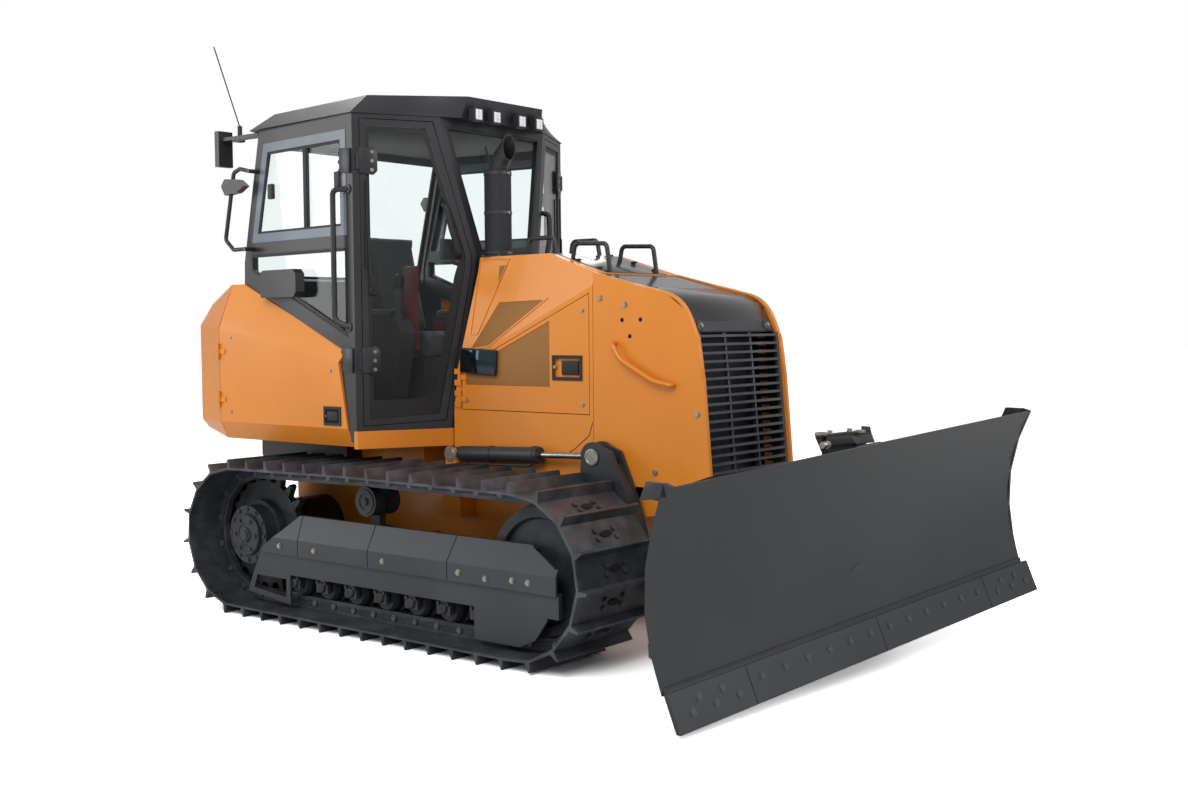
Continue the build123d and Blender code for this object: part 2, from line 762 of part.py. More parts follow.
def pod_shape(inset, front_gap=0.0):
    """Side pod of the rear body, faceted at its upper and lower shoulders."""
    outer = pillar_y - inset
    with BuildPart() as pod:
        with BuildSketch(side_of(world, -outer)):
            Polygon(
                (tank_seam_x + 4, pod_bottom_z + inset), (tank_seam_x + 4, pod_top_z - inset),
                (tank_seam_x + 104, pod_top_z - inset),
                (cab_pillar_x - 100 - 0.55 * inset - front_gap, pod_nose_z + 66 - inset),
                (cab_pillar_x - 135 - front_gap, pod_nose_z), (cab_pillar_x - 68 - front_gap, pod_low_z),
                (cab_pillar_x - 40 - inset - front_gap, pod_bottom_z + inset), align=None)
        extrude(amount=-(outer - pod_inner_y))
        low = Vector(tank_seam_x, -outer, pod_high_z - 4)
        front = Vector(cab_pillar_x - 135, -outer, pod_nose_z + 2)
        high = Vector(tank_seam_x, -outer + 100, pod_top_z - inset)
        split(bisect_by=Plane(origin=low, z_dir=(high - low).cross(front - low)), keep=Keep.TOP)
        low = Vector(tank_seam_x, -outer, pod_low_z + inset)
        front = Vector(cab_pillar_x, -outer, pod_low_z + inset)
        high = Vector(tank_seam_x, -outer + 50, pod_bottom_z + inset)
        split(bisect_by=Plane(origin=low, z_dir=(front - low).cross(high - low)), keep=Keep.TOP)
    return pod.part


service_hinge_z = (pod_bottom_z + 230, pod_bottom_z + 510)
service_hinge_x = tank_seam_x + 2
service_hinge_y = pillar_y + knuckle_r + seat_gap


def make_pods():
    """Pod bodies inside the service doors, with the fixed hinge halves."""
    with BuildPart() as pods:
        add(pod_shape(26))
        mirror(about=Plane.XZ)
    return pods.part


def make_service_door():
    """Service door: the faceted outer skin of the pod."""
    with BuildPart() as door:
        add(pod_shape(0, front_gap=door_gap))
        add(pod_shape(22, front_gap=-40), mode=Mode.SUBTRACT)
        with BuildSketch(side_of(world, -pod_inner_y + 10)):
            with Locations((tank_seam_x + 600, pod_nose_z)):
                Rectangle(1600, 1600)
        extrude(amount=24, mode=Mode.SUBTRACT)
        for z in service_hinge_z:
            add(hinge_leaf(world, service_hinge_x, -service_hinge_y, z, 55))
    return door.part


# ---------------------------------------------------------------- cab
cab_sections = (
    # height, front post y, rear corner x
    (cab_floor_z, front_foot_y, rear_foot_x),
    (waist_z, front_waist_y, rear_waist_x),
    (cab_top_z, front_top_y, rear_top_x),
)


def front_post_x(y):
    """X of the front post for its y: the post stays on the door's plane."""
    return cab_pillar_x + (pillar_y - y) * door_slant


def rear_corner_y(x):
    """Half width of the rear corner for its x: the corner stays on the side plane."""
    return pillar_y - side_taper * (cab_pillar_x - x)


def cab_plan(z, y, x):
    """Six-sided plan of the cab at one height."""
    half = [(front_post_x(y), y), (cab_pillar_x, pillar_y), (x, rear_corner_y(x))]
    return half + [(px, -py) for px, py in reversed(half)]


door_dir = Vector(door_slant, 1, 0).normalized()
door_plane = Plane(origin=(cab_pillar_x, -pillar_y, 0), x_dir=door_dir, z_dir=door_dir.cross(Vector(0, 0, 1)))
door_upright = Plane(origin=(cab_pillar_x, -pillar_y, 0), x_dir=door_dir, z_dir=(0, 0, 1))
cab_hinge_x = 26.0
cab_hinge_y = -knuckle_r - seat_gap
cab_hinge_z = (waist_z - 564, cab_top_z - 251)
side_dir = Vector(1, -side_taper, 0).normalized()
side_plane = Plane(origin=(cab_pillar_x, -pillar_y, 0), x_dir=side_dir, z_dir=side_dir.cross(Vector(0, 0, 1)))
rise = cab_top_z - waist_z
front_run = front_post_x(front_waist_y) - front_post_x(front_top_y)
front_plane = Plane(origin=(front_post_x(front_waist_y), 0, waist_z), x_dir=(0, 1, 0), z_dir=(rise, 0, front_run))
rear_run = rear_top_x - rear_waist_x
rear_plane = Plane(origin=(rear_waist_x, 0, waist_z), x_dir=(0, -1, 0), z_dir=(-rise, 0, rear_run))


def along_door(y):
    """Distance along the door's plane from the side pillar to a post at y."""
    return (pillar_y - y) * math.hypot(1, door_slant)


def door_sketch(gap):
    """Corners of the cab door opening, drawn in by a gap."""
    return (
        (38 + gap, cab_floor_z + 24 + gap),
        (38 + gap, cab_top_z - 26 - gap),
        (along_door(front_top_y) - 34 - gap, cab_top_z - 26 - gap),
        (along_door(front_waist_y) - 30 - gap, waist_z + gap * 0.2),
        (along_door(front_waist_y) - 28 - gap, waist_z - 60),
        (along_door(front_foot_y) - 28 - gap, cab_floor_z + 44 + gap),
    )


def side_window(gap, upper):
    """Corners of a side window, upper or lower, drawn in by a gap."""
    if upper:
        return (
            (-1010 + gap, waist_z + 110 + gap), (-865 + gap, cab_top_z - 85 - gap), (-62 - gap, cab_top_z - 85 - gap),
            (-62 - gap, waist_z + 110 + gap))
    return (
        (-1030 + gap, waist_z - 55 + gap), (-1030 + gap, waist_z + 40 - gap), (-62 - gap, waist_z + 40 - gap),
        (-62 - gap, waist_z - 440 + gap * 1.2))


def front_window(gap):
    """Corners of the windscreen, drawn in by a gap."""
    high = rise - 36 - gap
    return (
        (-front_waist_y + 34 + gap, 24 + gap), (front_waist_y - 34 - gap, 24 + gap),
        (front_top_y - 40 - gap, high), (-front_top_y + 40 + gap, high))


def rear_window(gap):
    """Corners of the rear window, drawn in by a gap."""
    wide = rear_corner_y(rear_waist_x) - 50 - gap
    return ((-wide, -90 + gap), (wide, -90 + gap), (wide, rise - 55 - gap), (-wide, rise - 55 - gap))


def pod_clearance():
    """Block that keeps the cab shell and floor clear of the side pods."""
    with BuildPart() as block:
        for side in (-1, 1):
            with BuildSketch(side_of(world, side * (pod_inner_y - seat_gap))):
                Polygon(
                    (tank_seam_x - 200, pod_bottom_z - 70), (tank_seam_x - 200, pod_top_z + seat_gap),
                    (tank_seam_x + 104, pod_top_z + seat_gap), (cab_pillar_x - 100 + seat_gap, pod_nose_z + 66 + seat_gap),
                    (cab_pillar_x - 135 + seat_gap, pod_nose_z), (cab_pillar_x - 68 + seat_gap, pod_low_z),
                    (cab_pillar_x - 21, pod_bottom_z - 70), align=None)
            extrude(amount=-side * 400)
    return block.part


def make_cab_shell():
    """Cab shell: six-sided frame with openings for doors and windows."""
    with BuildPart() as shell:
        for low, high in (cab_sections[0:2], cab_sections[1:3]):
            for z, y, x in (low, high):
                with BuildSketch(top_of(world, z)):
                    Polygon(*cab_plan(z, y, x), align=None)
            loft(ruled=True)
        for low, high in (cab_sections[0:2], cab_sections[1:3]):
            for z, y, x in (low, high):
                with BuildSketch(top_of(world, z)):
                    Polygon(*cab_plan(z, y, x), align=None)
                    offset(amount=-shell_wall, kind=Kind.INTERSECTION, mode=Mode.REPLACE)
            loft(ruled=True, mode=Mode.SUBTRACT)
        with BuildSketch(door_plane):
            Polygon(*door_sketch(0), align=None)
        extrude(amount=-150, mode=Mode.SUBTRACT)
        for upper in (True, False):
            with BuildSketch(side_plane):
                Polygon(*side_window(0, upper), align=None)
            extrude(amount=-110, mode=Mode.SUBTRACT)
        mirror(about=Plane.XZ, mode=Mode.INTERSECT)
        with BuildSketch(front_plane):
            Polygon(*front_window(0), align=None)
        extrude(amount=-110, mode=Mode.SUBTRACT)
        with BuildSketch(rear_plane):
            Polygon(*rear_window(0), align=None)
        extrude(amount=-110, mode=Mode.SUBTRACT)
        add(pod_clearance(), mode=Mode.SUBTRACT)
        for z in cab_hinge_z:
            hinge = hinge_body(door_upright, cab_hinge_x, cab_hinge_y, z, 2 - cab_hinge_x)
            add(hinge)
            add(mirrored(hinge))
    return shell.part


def make_cab_floor():
    """Cab floor plate on the main frame."""
    z, y, x = cab_sections[0]
    with BuildPart() as floor:
        with BuildSketch(top_of(world, cab_floor_z - seat_gap)):
            Polygon(*cab_plan(z, y, x), align=None)
        extrude(amount=-60 + seat_gap)
        add(pod_clearance(), mode=Mode.SUBTRACT)
    return floor.part


def make_cab_glass():
    """Fixed panes: windscreen, rear window and the side windows."""
    with BuildPart() as panes:
        for upper in (True, False):
            with BuildSketch(side_plane.offset(-12)):
                Polygon(*side_window(seat_gap, upper), align=None)
            extrude(amount=-glass)
        mirror(about=Plane.XZ)
        with BuildSketch(front_plane.offset(-12)):
            Polygon(*front_window(seat_gap), align=None)
        extrude(amount=-glass)
        with BuildSketch(rear_plane.offset(-12)):
            Polygon(*rear_window(seat_gap), align=None)
        extrude(amount=-glass)
    return panes.part


def make_cab_door():
    """Cab door frame with its two hinge plates."""
    with BuildPart() as door:
        with BuildSketch(door_plane):
            Polygon(*door_sketch(door_gap), align=None)
            Polygon(*door_sketch(door_gap + door_frame), align=None, mode=Mode.SUBTRACT)
        extrude(amount=-30)
        for z in cab_hinge_z:
            add(hinge_leaf(door_upright, cab_hinge_x, cab_hinge_y, z, door_frame))
    return door.part


def make_door_glass():
    """Cab door pane."""
    with BuildPart() as pane:
        with BuildSketch(door_plane.offset(-8)):
            Polygon(*door_sketch(door_gap + door_frame + seat_gap), align=None)
        extrude(amount=-glass)
    return pane.part


brow_x = front_post_x(front_top_y) + 60
brow_lean = 44.5


def brow_at(z):
    """X of the roof's front face at a height."""
    return brow_x + brow_lean * (z - cab_top_z) / roof_rise


def make_roof():
    """Cab roof: faceted cap with a front brow."""
    base = [(brow_x, 322), (cab_pillar_x + 4, pillar_y + 14), (rear_top_x - 60, 770),
            (rear_top_x - 170, 560)]
    crown = [(brow_x + brow_lean, 304), (cab_pillar_x - 40, 700), (rear_top_x - 40, 600),
             (rear_top_x - 150, 470)]
    with BuildPart() as roof:
        for z, half in ((cab_top_z + seat_gap, base), (roof_top_z, crown)):
            with BuildSketch(top_of(world, z)):
                Polygon(*half, *[(x, -y) for x, y in reversed(half)], align=None)
        loft(ruled=True)
    return roof.part


def make_roof_lamps():
    """Four square work lamps under the roof's brow."""
    z = cab_top_z + 20
    x = brow_at(z + 36) + 6
    with BuildPart() as lamps:
        for y in (-250.0, -104.0, 104.0, 250.0):
            with BuildSketch(face_of(world, x)):
                with Locations((y, z)):
                    RectangleRounded(74, 72, 8)
            extrude(amount=38)
            with BuildSketch(side_of(world, y)):
                Polygon(
                    (brow_at(z + 24) + seat_gap, z + 24), (brow_at(z + 42) + seat_gap, z + 42), (x + 14, z + 42),
                    (x + 14, z + 24), align=None)
            extrude(amount=15, both=True)
    return lamps.part


def make_sill():
    """Step sill under the cab door."""
    with BuildPart() as sill:
        with BuildSketch(top_of(world, cab_floor_z - seat_gap)):
            Polygon(
                (cab_pillar_x - 20, -pillar_y), (cab_pillar_x + 8, -pillar_y), (front_post_x(front_foot_y) + 6, -hood_half),
                (front_post_x(front_foot_y) + 6, -frame_half), (cab_pillar_x - 20, -frame_half), align=None)
        extrude(amount=-95)
        add(make_cab_floor(), mode=Mode.SUBTRACT)
    return sill.part


def make_seat():
    """Seat pedestal, cushion and backrest."""
    x = cab_pillar_x - 380
    with BuildPart() as base:
        with BuildSketch(top_of(world, cab_floor_z)):
            with Locations((x, 0)):
                Rectangle(420, 360)
        extrude(amount=380)
    with BuildPart() as cushion:
        with BuildSketch(top_of(world, cab_floor_z + 380 + seat_gap)):
            with Locations((x + 10, 0)):
                RectangleRounded(500, 500, 60)
        extrude(amount=130)
    with BuildPart() as back:
        with BuildSketch(side_of(world)):
            Polygon(
                (x - 150, cab_floor_z + 511), (x - 290, cab_floor_z + 1130), (x - 390, cab_floor_z + 1130),
                (x - 250, cab_floor_z + 511), align=None)
        extrude(amount=235, both=True)
    return base.part, cushion.part, back.part


def make_consoles():
    """Armrest consoles each side of the seat with a lever each."""
    x = cab_pillar_x - 340
    with BuildPart() as consoles:
        for side in (-1, 1):
            with BuildSketch(side_of(world, side * 300)):
                Polygon(
                    (x - 250, cab_floor_z), (x - 250, cab_floor_z + 620), (x + 190, cab_floor_z + 600),
                    (x + 230, cab_floor_z + 520), (x + 120, cab_floor_z), align=None)
            extrude(amount=-side * 110)
            with BuildSketch(top_of(world, cab_floor_z + 560)):
                with Locations((x + 150, side * 355)):
                    Circle(14)
            extrude(amount=170)
            with BuildSketch(top_of(world, cab_floor_z + 700)):
                with Locations((x + 150, side * 355)):
                    Circle(26)
            extrude(amount=70)
    return consoles.part


def make_dash():
    """Dash wall under the windscreen."""
    z, y, x = cab_sections[1]
    with BuildPart() as dash:
        with BuildSketch(side_of(world)):
            Polygon(
                (front_post_x(front_foot_y) - 60, cab_floor_z), (front_post_x(front_waist_y) - 60, waist_z - 40),
                (front_post_x(front_waist_y) - 190, waist_z - 60), (front_post_x(front_foot_y) - 160, cab_floor_z),
                align=None)
        extrude(amount=190, both=True)
    return dash.part


# ---------------------------------------------------------------- fittings
tube_r = 12.0


def side_tube(y, points, bend):
    """Round tube bent in an upright plane at y, through forward and up points."""
    bends = [Vector(x, y, z) for x, z in points]
    with BuildPart() as tube:
        with BuildLine() as path:
            FilletPolyline(*bends, radius=bend)
        with BuildSketch(Plane(origin=bends[0], z_dir=bends[1] - bends[0])):
            Circle(tube_r)
        sweep(path=path)
    return tube.part


def foot(x, z, inner, outer):
    """Round end of a tube running across the machine between two half widths, on its right."""
    with BuildPart() as stub:
        with BuildSketch(side_of(world, -inner)):
            with Locations((x, z)):
                Circle(tube_r)
        extrude(amount=outer - inner)
    return stub.part


def make_handles():
    """Four tube handles on the hood: a pair on the level top and a pair on the slope."""
    z = cover_top_z + seat_gap
    drop = cover_top_z - cover_front_top_z
    run = cowl_seam_x - cover_rear_x - 640
    near, far = 355 - 291, 600 - 291
    near_z = z - drop * (near - tube_r) / run
    far_z = z - drop * (far - tube_r) / run
    handles = (
        # rear foot x and z, rear top x and z, front top x and z, front foot x and z, half spacing
        (369, z, 385, z + 92, 560, z + 92, 579, z, 180.0),
        (640 + near, near_z, 640 + near + 14, z + 52, 640 + far - 22, z + 44, 640 + far, far_z, 200.0),
    )
    with BuildPart() as group:
        for x0, z0, x1, z1, x2, z2, x3, z3, y in handles:
            points = [(cover_rear_x + a, b) for a, b in ((x0, z0 - 4), (x1, z1), (x2, z2), (x3, z3 - 4))]
            add(side_tube(-y, points, 30))
        mirror(about=Plane.XZ)
        with BuildSketch(side_of(world)):
            Polygon(
                (cover_rear_x, z), (cover_rear_x + 640, z), (cowl_seam_x + 40, z - drop * (run + 40) / run),
                (cowl_seam_x + 40, z - 400), (cover_rear_x, z - 400), align=None)
        extrude(amount=hood_half, both=True, mode=Mode.SUBTRACT)
    return group.part


def make_hood_rail():
    """Bent handrail on the right cheek of the cowl."""
    y = hood_half + 32
    points = [(cowl_seam_x + a, cover_front_top_z - b) for a, b in ((146, 355), (194, 433), (395, 537), (500, 556))]
    with BuildPart() as rail:
        add(side_tube(-y, points, 30))
        for x, z in (points[0], points[-1]):
            add(foot(x, z, hood_half + seat_gap, y + tube_r))
    return rail.part


def make_cab_rail():
    """Grab tube round the right rear corner of the cab with its leaf-shaped mirror."""
    y = pillar_y - 50
    shape = (
        # from the cab's top rear corner: forward, up
        (-23, -233), (-113, -214), (-171, -233), (-260, -615), (-186, -676), (-74, -675))
    points = [(rear_top_x + a, cab_top_z + b) for a, b in shape]
    with BuildPart() as rail:
        add(side_tube(-y, points, 25))
        for x, z in (points[0], points[-1]):
            add(foot(x, z, rear_corner_y(x + tube_r) + 1.5, y + tube_r))
        with BuildSketch(side_of(world, -y + 22)):
            Polygon(
                *[(rear_top_x + a, cab_top_z + b) for a, b in (
                    (-54, -315), (-113, -275), (-233, -266), (-267, -305), (-233, -360), (-123, -350))], align=None)
        extrude(amount=44)
    return rail.part


def make_rear_fittings():
    """Bracket behind the roof with the rear work lamp and the antenna."""
    z = cab_top_z
    with BuildPart() as group:
        with BuildSketch(top_of(world, z - 20)):
            Polygon(
                (rear_top_x - 70, -700), (rear_top_x - 70, -640), (rear_top_x - 350, -640), (rear_top_x - 350, -580),
                (rear_top_x - 396, -580), (rear_top_x - 396, -640), (rear_top_x - 430, -640),
                (rear_top_x - 430, -700), align=None)
        extrude(amount=20)
        with BuildSketch(top_of(world, z - 170)):
            with Locations((rear_top_x - 438, -670)):
                Rectangle(40, 100)
        extrude(amount=210)
        with BuildSketch(top_of(world, z - 20)):
            with Locations((rear_top_x - 372, -600)):
                Circle(14)
        extrude(amount=97)
        foot_point = Vector(rear_top_x - 372, -600, z + 70)
        tip = Vector(rear_top_x - 610, -600, z + 575)
        with BuildSketch(Plane(origin=foot_point, z_dir=tip - foot_point)):
            Circle(4)
        extrude(amount=(tip - foot_point).length)
    return group.part


def make_sill_box():
    """Chamfered housing on the cab wall above the right pod."""
    low, high = waist_z - 215, waist_z - 60
    with BuildPart() as housing:
        with BuildSketch(side_plane.offset(seat_gap)):
            Polygon(
                (-840, low), (-840, high - 15), (-815, high), (-505, high), (-476, high - 25), (-476, low + 30),
                (-500, low), align=None)
        extrude(amount=58)
    return housing.part


def make_body_support():
    """Bracket between the right side of the belly frame and the rear body."""
    top = pod_bottom_z - seat_gap
    with BuildPart() as support:
        with BuildSketch(side_of(world, -frame_half - seat_gap)):
            Polygon(
                (tank_seam_x - 112, top - 130), (tank_seam_x - 112, top), (tank_seam_x + 670, top),
                (tank_seam_x + 670, top - 110), (tank_seam_x + 605, top - 170), (tank_seam_x - 75, top - 170), align=None)
        extrude(amount=arm_outer_y - frame_half - 12)
    return support.part


# ---------------------------------------------------------------- cylinders
def cylinder_frame(start, end, pin_axis):
    """Frame at a cylinder's base pin: x along the cylinder, z along its pins."""
    return Plane(origin=start, x_dir=(end - start).normalized(), z_dir=pin_axis)


def make_barrel(frame, outer_r, shaft_r, length, pin_r, width):
    """Cylinder barrel with its base eye; bored for the rod."""
    eye_r = pin_r + eye_rim
    with BuildPart() as barrel:
        with BuildSketch(face_of(frame, eye_r + 8)):
            Circle(outer_r)
        extrude(amount=length - eye_r - 8)
        with BuildSketch(top_of(frame, -width / 2)):
            Circle(eye_r)
            with Locations(((eye_r + 10) / 2, 0)):
                Rectangle(eye_r + 10, 2 * pin_r + 16)
        extrude(amount=width)
        with BuildSketch(top_of(frame, -width / 2 - 1)):
            Circle(pin_r + running_gap)
        extrude(amount=width + 2, mode=Mode.SUBTRACT)
        with BuildSketch(face_of(frame, eye_r + 18)):
            Circle(shaft_r + running_gap)
        extrude(amount=length, mode=Mode.SUBTRACT)
    return barrel.part


def make_rod(frame, reach, shaft_r, overlap, length, pin_r, width):
    """Piston rod with its eye and pin at the far end."""
    eye_r = pin_r + eye_rim
    with BuildPart() as rod:
        with BuildSketch(face_of(frame, length - overlap)):
            Circle(shaft_r)
        extrude(amount=reach - eye_r + 4 - length + overlap)
        with BuildSketch(top_of(frame, -width / 2)):
            with Locations((reach, 0)):
                Circle(eye_r)
        extrude(amount=width)
    return rod.part


lift_start = Vector(lift_rear_x, -lift_y, lift_rear_z)
lift_end = Vector(upright_x, -lift_y, upright_pin_z)
lift_reach = (lift_end - lift_start).length
lift_frame = cylinder_frame(lift_start, lift_end, Vector(0, -1, 0))
lift_barrel_length = 600.0
lift_overlap = 170.0


def make_c_frame():
    """C-frame: side arms with lift uprights, cross beam and nose lugs."""
    with BuildPart() as frame:
        with BuildSketch(side_of(world, -arm_inner_y)):
            Polygon(
                (arm_pivot_x - 76, arm_pivot_z - 62), (arm_pivot_x - 76, arm_pivot_z + 62),
                (arm_pivot_x + 600, 470), (upright_x + 330, 480), (cross_front_x, cross_top), (cross_front_x, cross_bottom),
                (arm_pivot_x + 900, 300), align=None)
            with Locations((arm_pivot_x, arm_pivot_z)):
                Circle(pivot_pin_r + running_gap, mode=Mode.SUBTRACT)
        extrude(amount=arm_outer_y - arm_inner_y)
        for y in (arm_inner_y, arm_outer_y - cheek):
            with BuildSketch(side_of(world, -y)):
                Polygon(
                    (upright_x - 62, upright_pin_z + 36), (upright_x - 84, upright_pin_z - 130),
                    (upright_x - 40, 440), (upright_x + 330, 440), (upright_x + 225, upright_pin_z - 200),
                    (upright_x + 120, upright_pin_z + 30), (upright_x + 50, upright_pin_z + 56), align=None)
                with Locations((upright_x, upright_pin_z)):
                    Circle(74)
            extrude(amount=cheek)
        with BuildSketch(side_of(world, -arm_inner_y)):
            Polygon(
                (upright_x + 130, upright_pin_z - 30), (upright_x + 225, upright_pin_z - 200),
                (upright_x + 330, 440), (upright_x + 290, 440), (upright_x + 190, upright_pin_z - 200),
                (upright_x + 112, upright_pin_z - 40), align=None)
        extrude(amount=arm_outer_y - arm_inner_y)
        with BuildSketch(side_of(world, -arm_outer_y)):
            with Locations((upright_x, upright_pin_z)):
                Circle(44)
        extrude(amount=5)
        for z in (angle_z - eye_width / 2 - 3 - 14, angle_z + eye_width / 2 + 3):
            with BuildSketch(top_of(world, z)):
                Polygon(
                    (angle_base_x - 46, -arm_outer_y + 20), (angle_base_x + 30, -arm_outer_y + 20),
                    (angle_base_x + 34, -angle_base_y), (angle_base_x + 20, -angle_base_y - 30),
                    (angle_base_x - 20, -angle_base_y - 30), (angle_base_x - 36, -angle_base_y), align=None)
            extrude(amount=14)
        with BuildSketch(side_of(world, -arm_inner_y)):
            Polygon(
                (angle_base_x - 60, 440), (angle_base_x - 46, angle_z + eye_width / 2 + 17),
                (angle_base_x + 15, angle_z + eye_width / 2 + 17), (angle_base_x + 40, 440), align=None)
        extrude(amount=arm_outer_y - 14 - arm_inner_y)
        with BuildSketch(top_of(world, angle_z - eye_width / 2 - 17)):
            with Locations((angle_base_x, -angle_base_y)):
                Circle(eye_pin_r)
        extrude(amount=eye_width + 34)
        mirror(about=Plane.XZ)
        with BuildSketch(top_of(world, cross_bottom)):
            with Locations(((cross_rear_x + cross_front_x) / 2, 0)):
                Rectangle(cross_front_x - cross_rear_x, 2 * arm_outer_y)
        extrude(amount=cross_top - cross_bottom)
        with BuildSketch(top_of(world, cross_bottom)):
            Polygon(
                (cross_front_x - 10, -150), (cross_front_x - 10, 150), (nose_x, 58), (nose_x + 46, 34),
                (nose_x + 46, -34), (nose_x, -58), align=None)
        extrude(amount=cross_top - cross_bottom)
        with BuildSketch(top_of(world, nose_z - 46)):
            with Locations((nose_x + 22, 0)):
                Rectangle(156, 400)
        extrude(amount=92, mode=Mode.SUBTRACT)
        with BuildSketch(top_of(world, cross_bottom)):
            with Locations((nose_x, 0)):
                Circle(nose_pin_r)
        extrude(amount=cross_top - cross_bottom + 12)
    return frame.part


def make_yoke():
    """Angling yoke: nose lug, upright tower, tilt pin, ears and the tilt cylinder's base."""
    with BuildPart() as yoke:
        with BuildSketch(top_of(yoke_frame, nose_z - 44)):
            Polygon((0, -48), (tower_x + 5, -130), (tower_x + 5, 130), (0, 48), align=None)
            Circle(48)
            Circle(nose_pin_r + running_gap, mode=Mode.SUBTRACT)
        extrude(amount=88)
        with BuildSketch(face_of(yoke_frame, tower_x)):
            Polygon(
                (-200, 325), (200, 325), (200, angle_z - 60), (angle_arm + 45, angle_z - 35),
                (angle_arm + 45, angle_z + 35), (210, 650),
                (120, 1030), (-150, 1030), (-210, 650), (-angle_arm - 45, angle_z + 35),
                (-angle_arm - 45, angle_z - 35), (-200, angle_z - 60), align=None)
        extrude(amount=tower_plate)
        for z in (angle_z - eye_width / 2 - 3 - 12, angle_z + eye_width / 2 + 3):
            for side in (-1, 1):
                with BuildSketch(top_of(yoke_frame, z)):
                    Polygon(
                        (tower_x + 5, side * (angle_arm - 45)), (tower_x + 5, side * (angle_arm + 45)),
                        (angle_eye_x, side * (angle_arm + 34)), (angle_eye_x - 30, side * (angle_arm + 12)),
                        (angle_eye_x - 30, side * (angle_arm - 12)), (angle_eye_x, side * (angle_arm - 34)), align=None)
                extrude(amount=12)
        for side in (-1, 1):
            with BuildSketch(top_of(yoke_frame, angle_z + eye_width / 2 + 15)):
                with Locations((angle_eye_x, side * angle_arm)):
                    Circle(eye_pin_r + 4)
            extrude(amount=7)
        with BuildSketch(face_of(yoke_frame, tower_x + tower_plate - 2)):
            with Locations((0, tilt_pin_z)):
                Circle(tilt_pin_r)
        extrude(amount=46)
        with BuildSketch(face_of(yoke_frame, tower_x + tower_plate - 2)):
            with Locations((tilt_base_y, tilt_z)):
                Circle(eye_pin_r)
        extrude(amount=tilt_x - tower_x - tower_plate + 2 + eye_width / 2 + 3 + 14)
        with BuildSketch(face_of(yoke_frame, tilt_x + eye_width / 2 + 3)):
            Polygon(
                (tilt_base_y - 36, tilt_z - 60), (tilt_base_y + 30, tilt_z - 60), (tilt_base_y + 30, tilt_z + 20),
                (tilt_base_y, tilt_z + 36), (tilt_base_y - 36, tilt_z + 20), align=None)
        extrude(amount=14)
        with BuildSketch(side_of(yoke_frame, tilt_base_y - 36)):
            Polygon(
                (tower_x + tower_plate - 2, tilt_z - 90), (tower_x + tower_plate - 2, tilt_z - 44),
                (tilt_x + eye_width / 2 + 17, tilt_z - 44), (tilt_x + eye_width / 2 + 17, tilt_z - 60), align=None)
        extrude(amount=-66)
    return yoke.part


blade_curve = (
    # forward, up of the mouldboard's face
    (-92.0, 158.0), (-124.0, 300.0), (-142.0, 460.0), (-130.0, 640.0), (-80.0, 820.0), (-8.0, 972.0),
)


def make_blade():
    """Curved mouldboard with end plates, top corners and back ribs."""
    face = [Vector(x, z, 0) for x, z in blade_curve]
    back = [Vector(x - blade_plate, z, 0) for x, z in blade_curve]
    with BuildPart() as blade:
        with BuildSketch(side_of(blade_frame)):
            with BuildLine():
                Spline(*face)
                Line(face[-1], back[-1])
                Spline(*reversed(back))
                Line(back[0], face[0])
            make_face()
            Polygon(
                (-edge_lean * 100 - edge_plate - seat_gap, 100), (-edge_lean * 100 - edge_plate - blade_plate, 100),
                (-92 - blade_plate, 170), (-92 + 4, 170), (-edge_lean * 158 - edge_plate - seat_gap, 158),
                align=None)
        extrude(amount=blade_width / 2, both=True)
        for y in (-blade_width / 2 + 9, blade_width / 2 - 9):
            with BuildSketch(side_of(blade_frame, y)):
                Polygon(
                    (-112, 130), (-165, 300), (-184, 460), (-172, 640), (-122, 820), (-56, 985), (-8, 972),
                    (-80, 820), (-130, 640), (-142, 460), (-124, 300), (-100, 160), align=None)
            extrude(amount=9, both=True)
        with BuildSketch(face_of(blade_frame, -blade_reach + tower_x + tower_plate + 16)):
            with Locations((-blade_shift, blade_drop)):
                Circle(tilt_pin_r + 34)
                Circle(tilt_pin_r + running_gap, mode=Mode.SUBTRACT)
        extrude(amount=56)
        eye_x, eye_z = tilt_x - blade_reach, tilt_z - tilt_pin_z + blade_drop
        eye_y = tilt_eye_y - blade_shift
        with BuildSketch(side_of(blade_frame, eye_y - 34)):
            Polygon(
                (eye_x - eye_width / 2 - 17, eye_z - 36), (eye_x - eye_width / 2 - 17, eye_z + 36), (-40, eye_z + 36),
                (-73, eye_z - 36), align=None)
        extrude(amount=-110)
        with BuildSketch(side_of(blade_frame, eye_y - 60)):
            with Locations((eye_x, eye_z)):
                Rectangle(eye_width + 6, 90)
        extrude(amount=-110, mode=Mode.SUBTRACT)
        with BuildSketch(face_of(blade_frame, eye_x - eye_width / 2 - 24)):
            with Locations((eye_y, eye_z)):
                Circle(eye_pin_r + 4)
        extrude(amount=8)
    return blade.part


def make_edges():
    """Cutting edge in two middle pieces and two end bits."""
    with BuildPart() as edges:
        span = blade_width + 44
        bit = 0.167 * span
        cuts = (-span / 2, -span / 2 + bit, 0.0, span / 2 - bit, span / 2)
        for left, right in zip(cuts, cuts[1:]):
            with BuildSketch(side_of(blade_frame, left + 0.5)):
                Polygon(
                    (0, 0), (-edge_lean * edge_height, edge_height),
                    (-edge_lean * (edge_height - 6) - edge_plate, edge_height - 6), (-edge_plate, 0), align=None)
            extrude(amount=-(right - left - 1))
    return edges.part


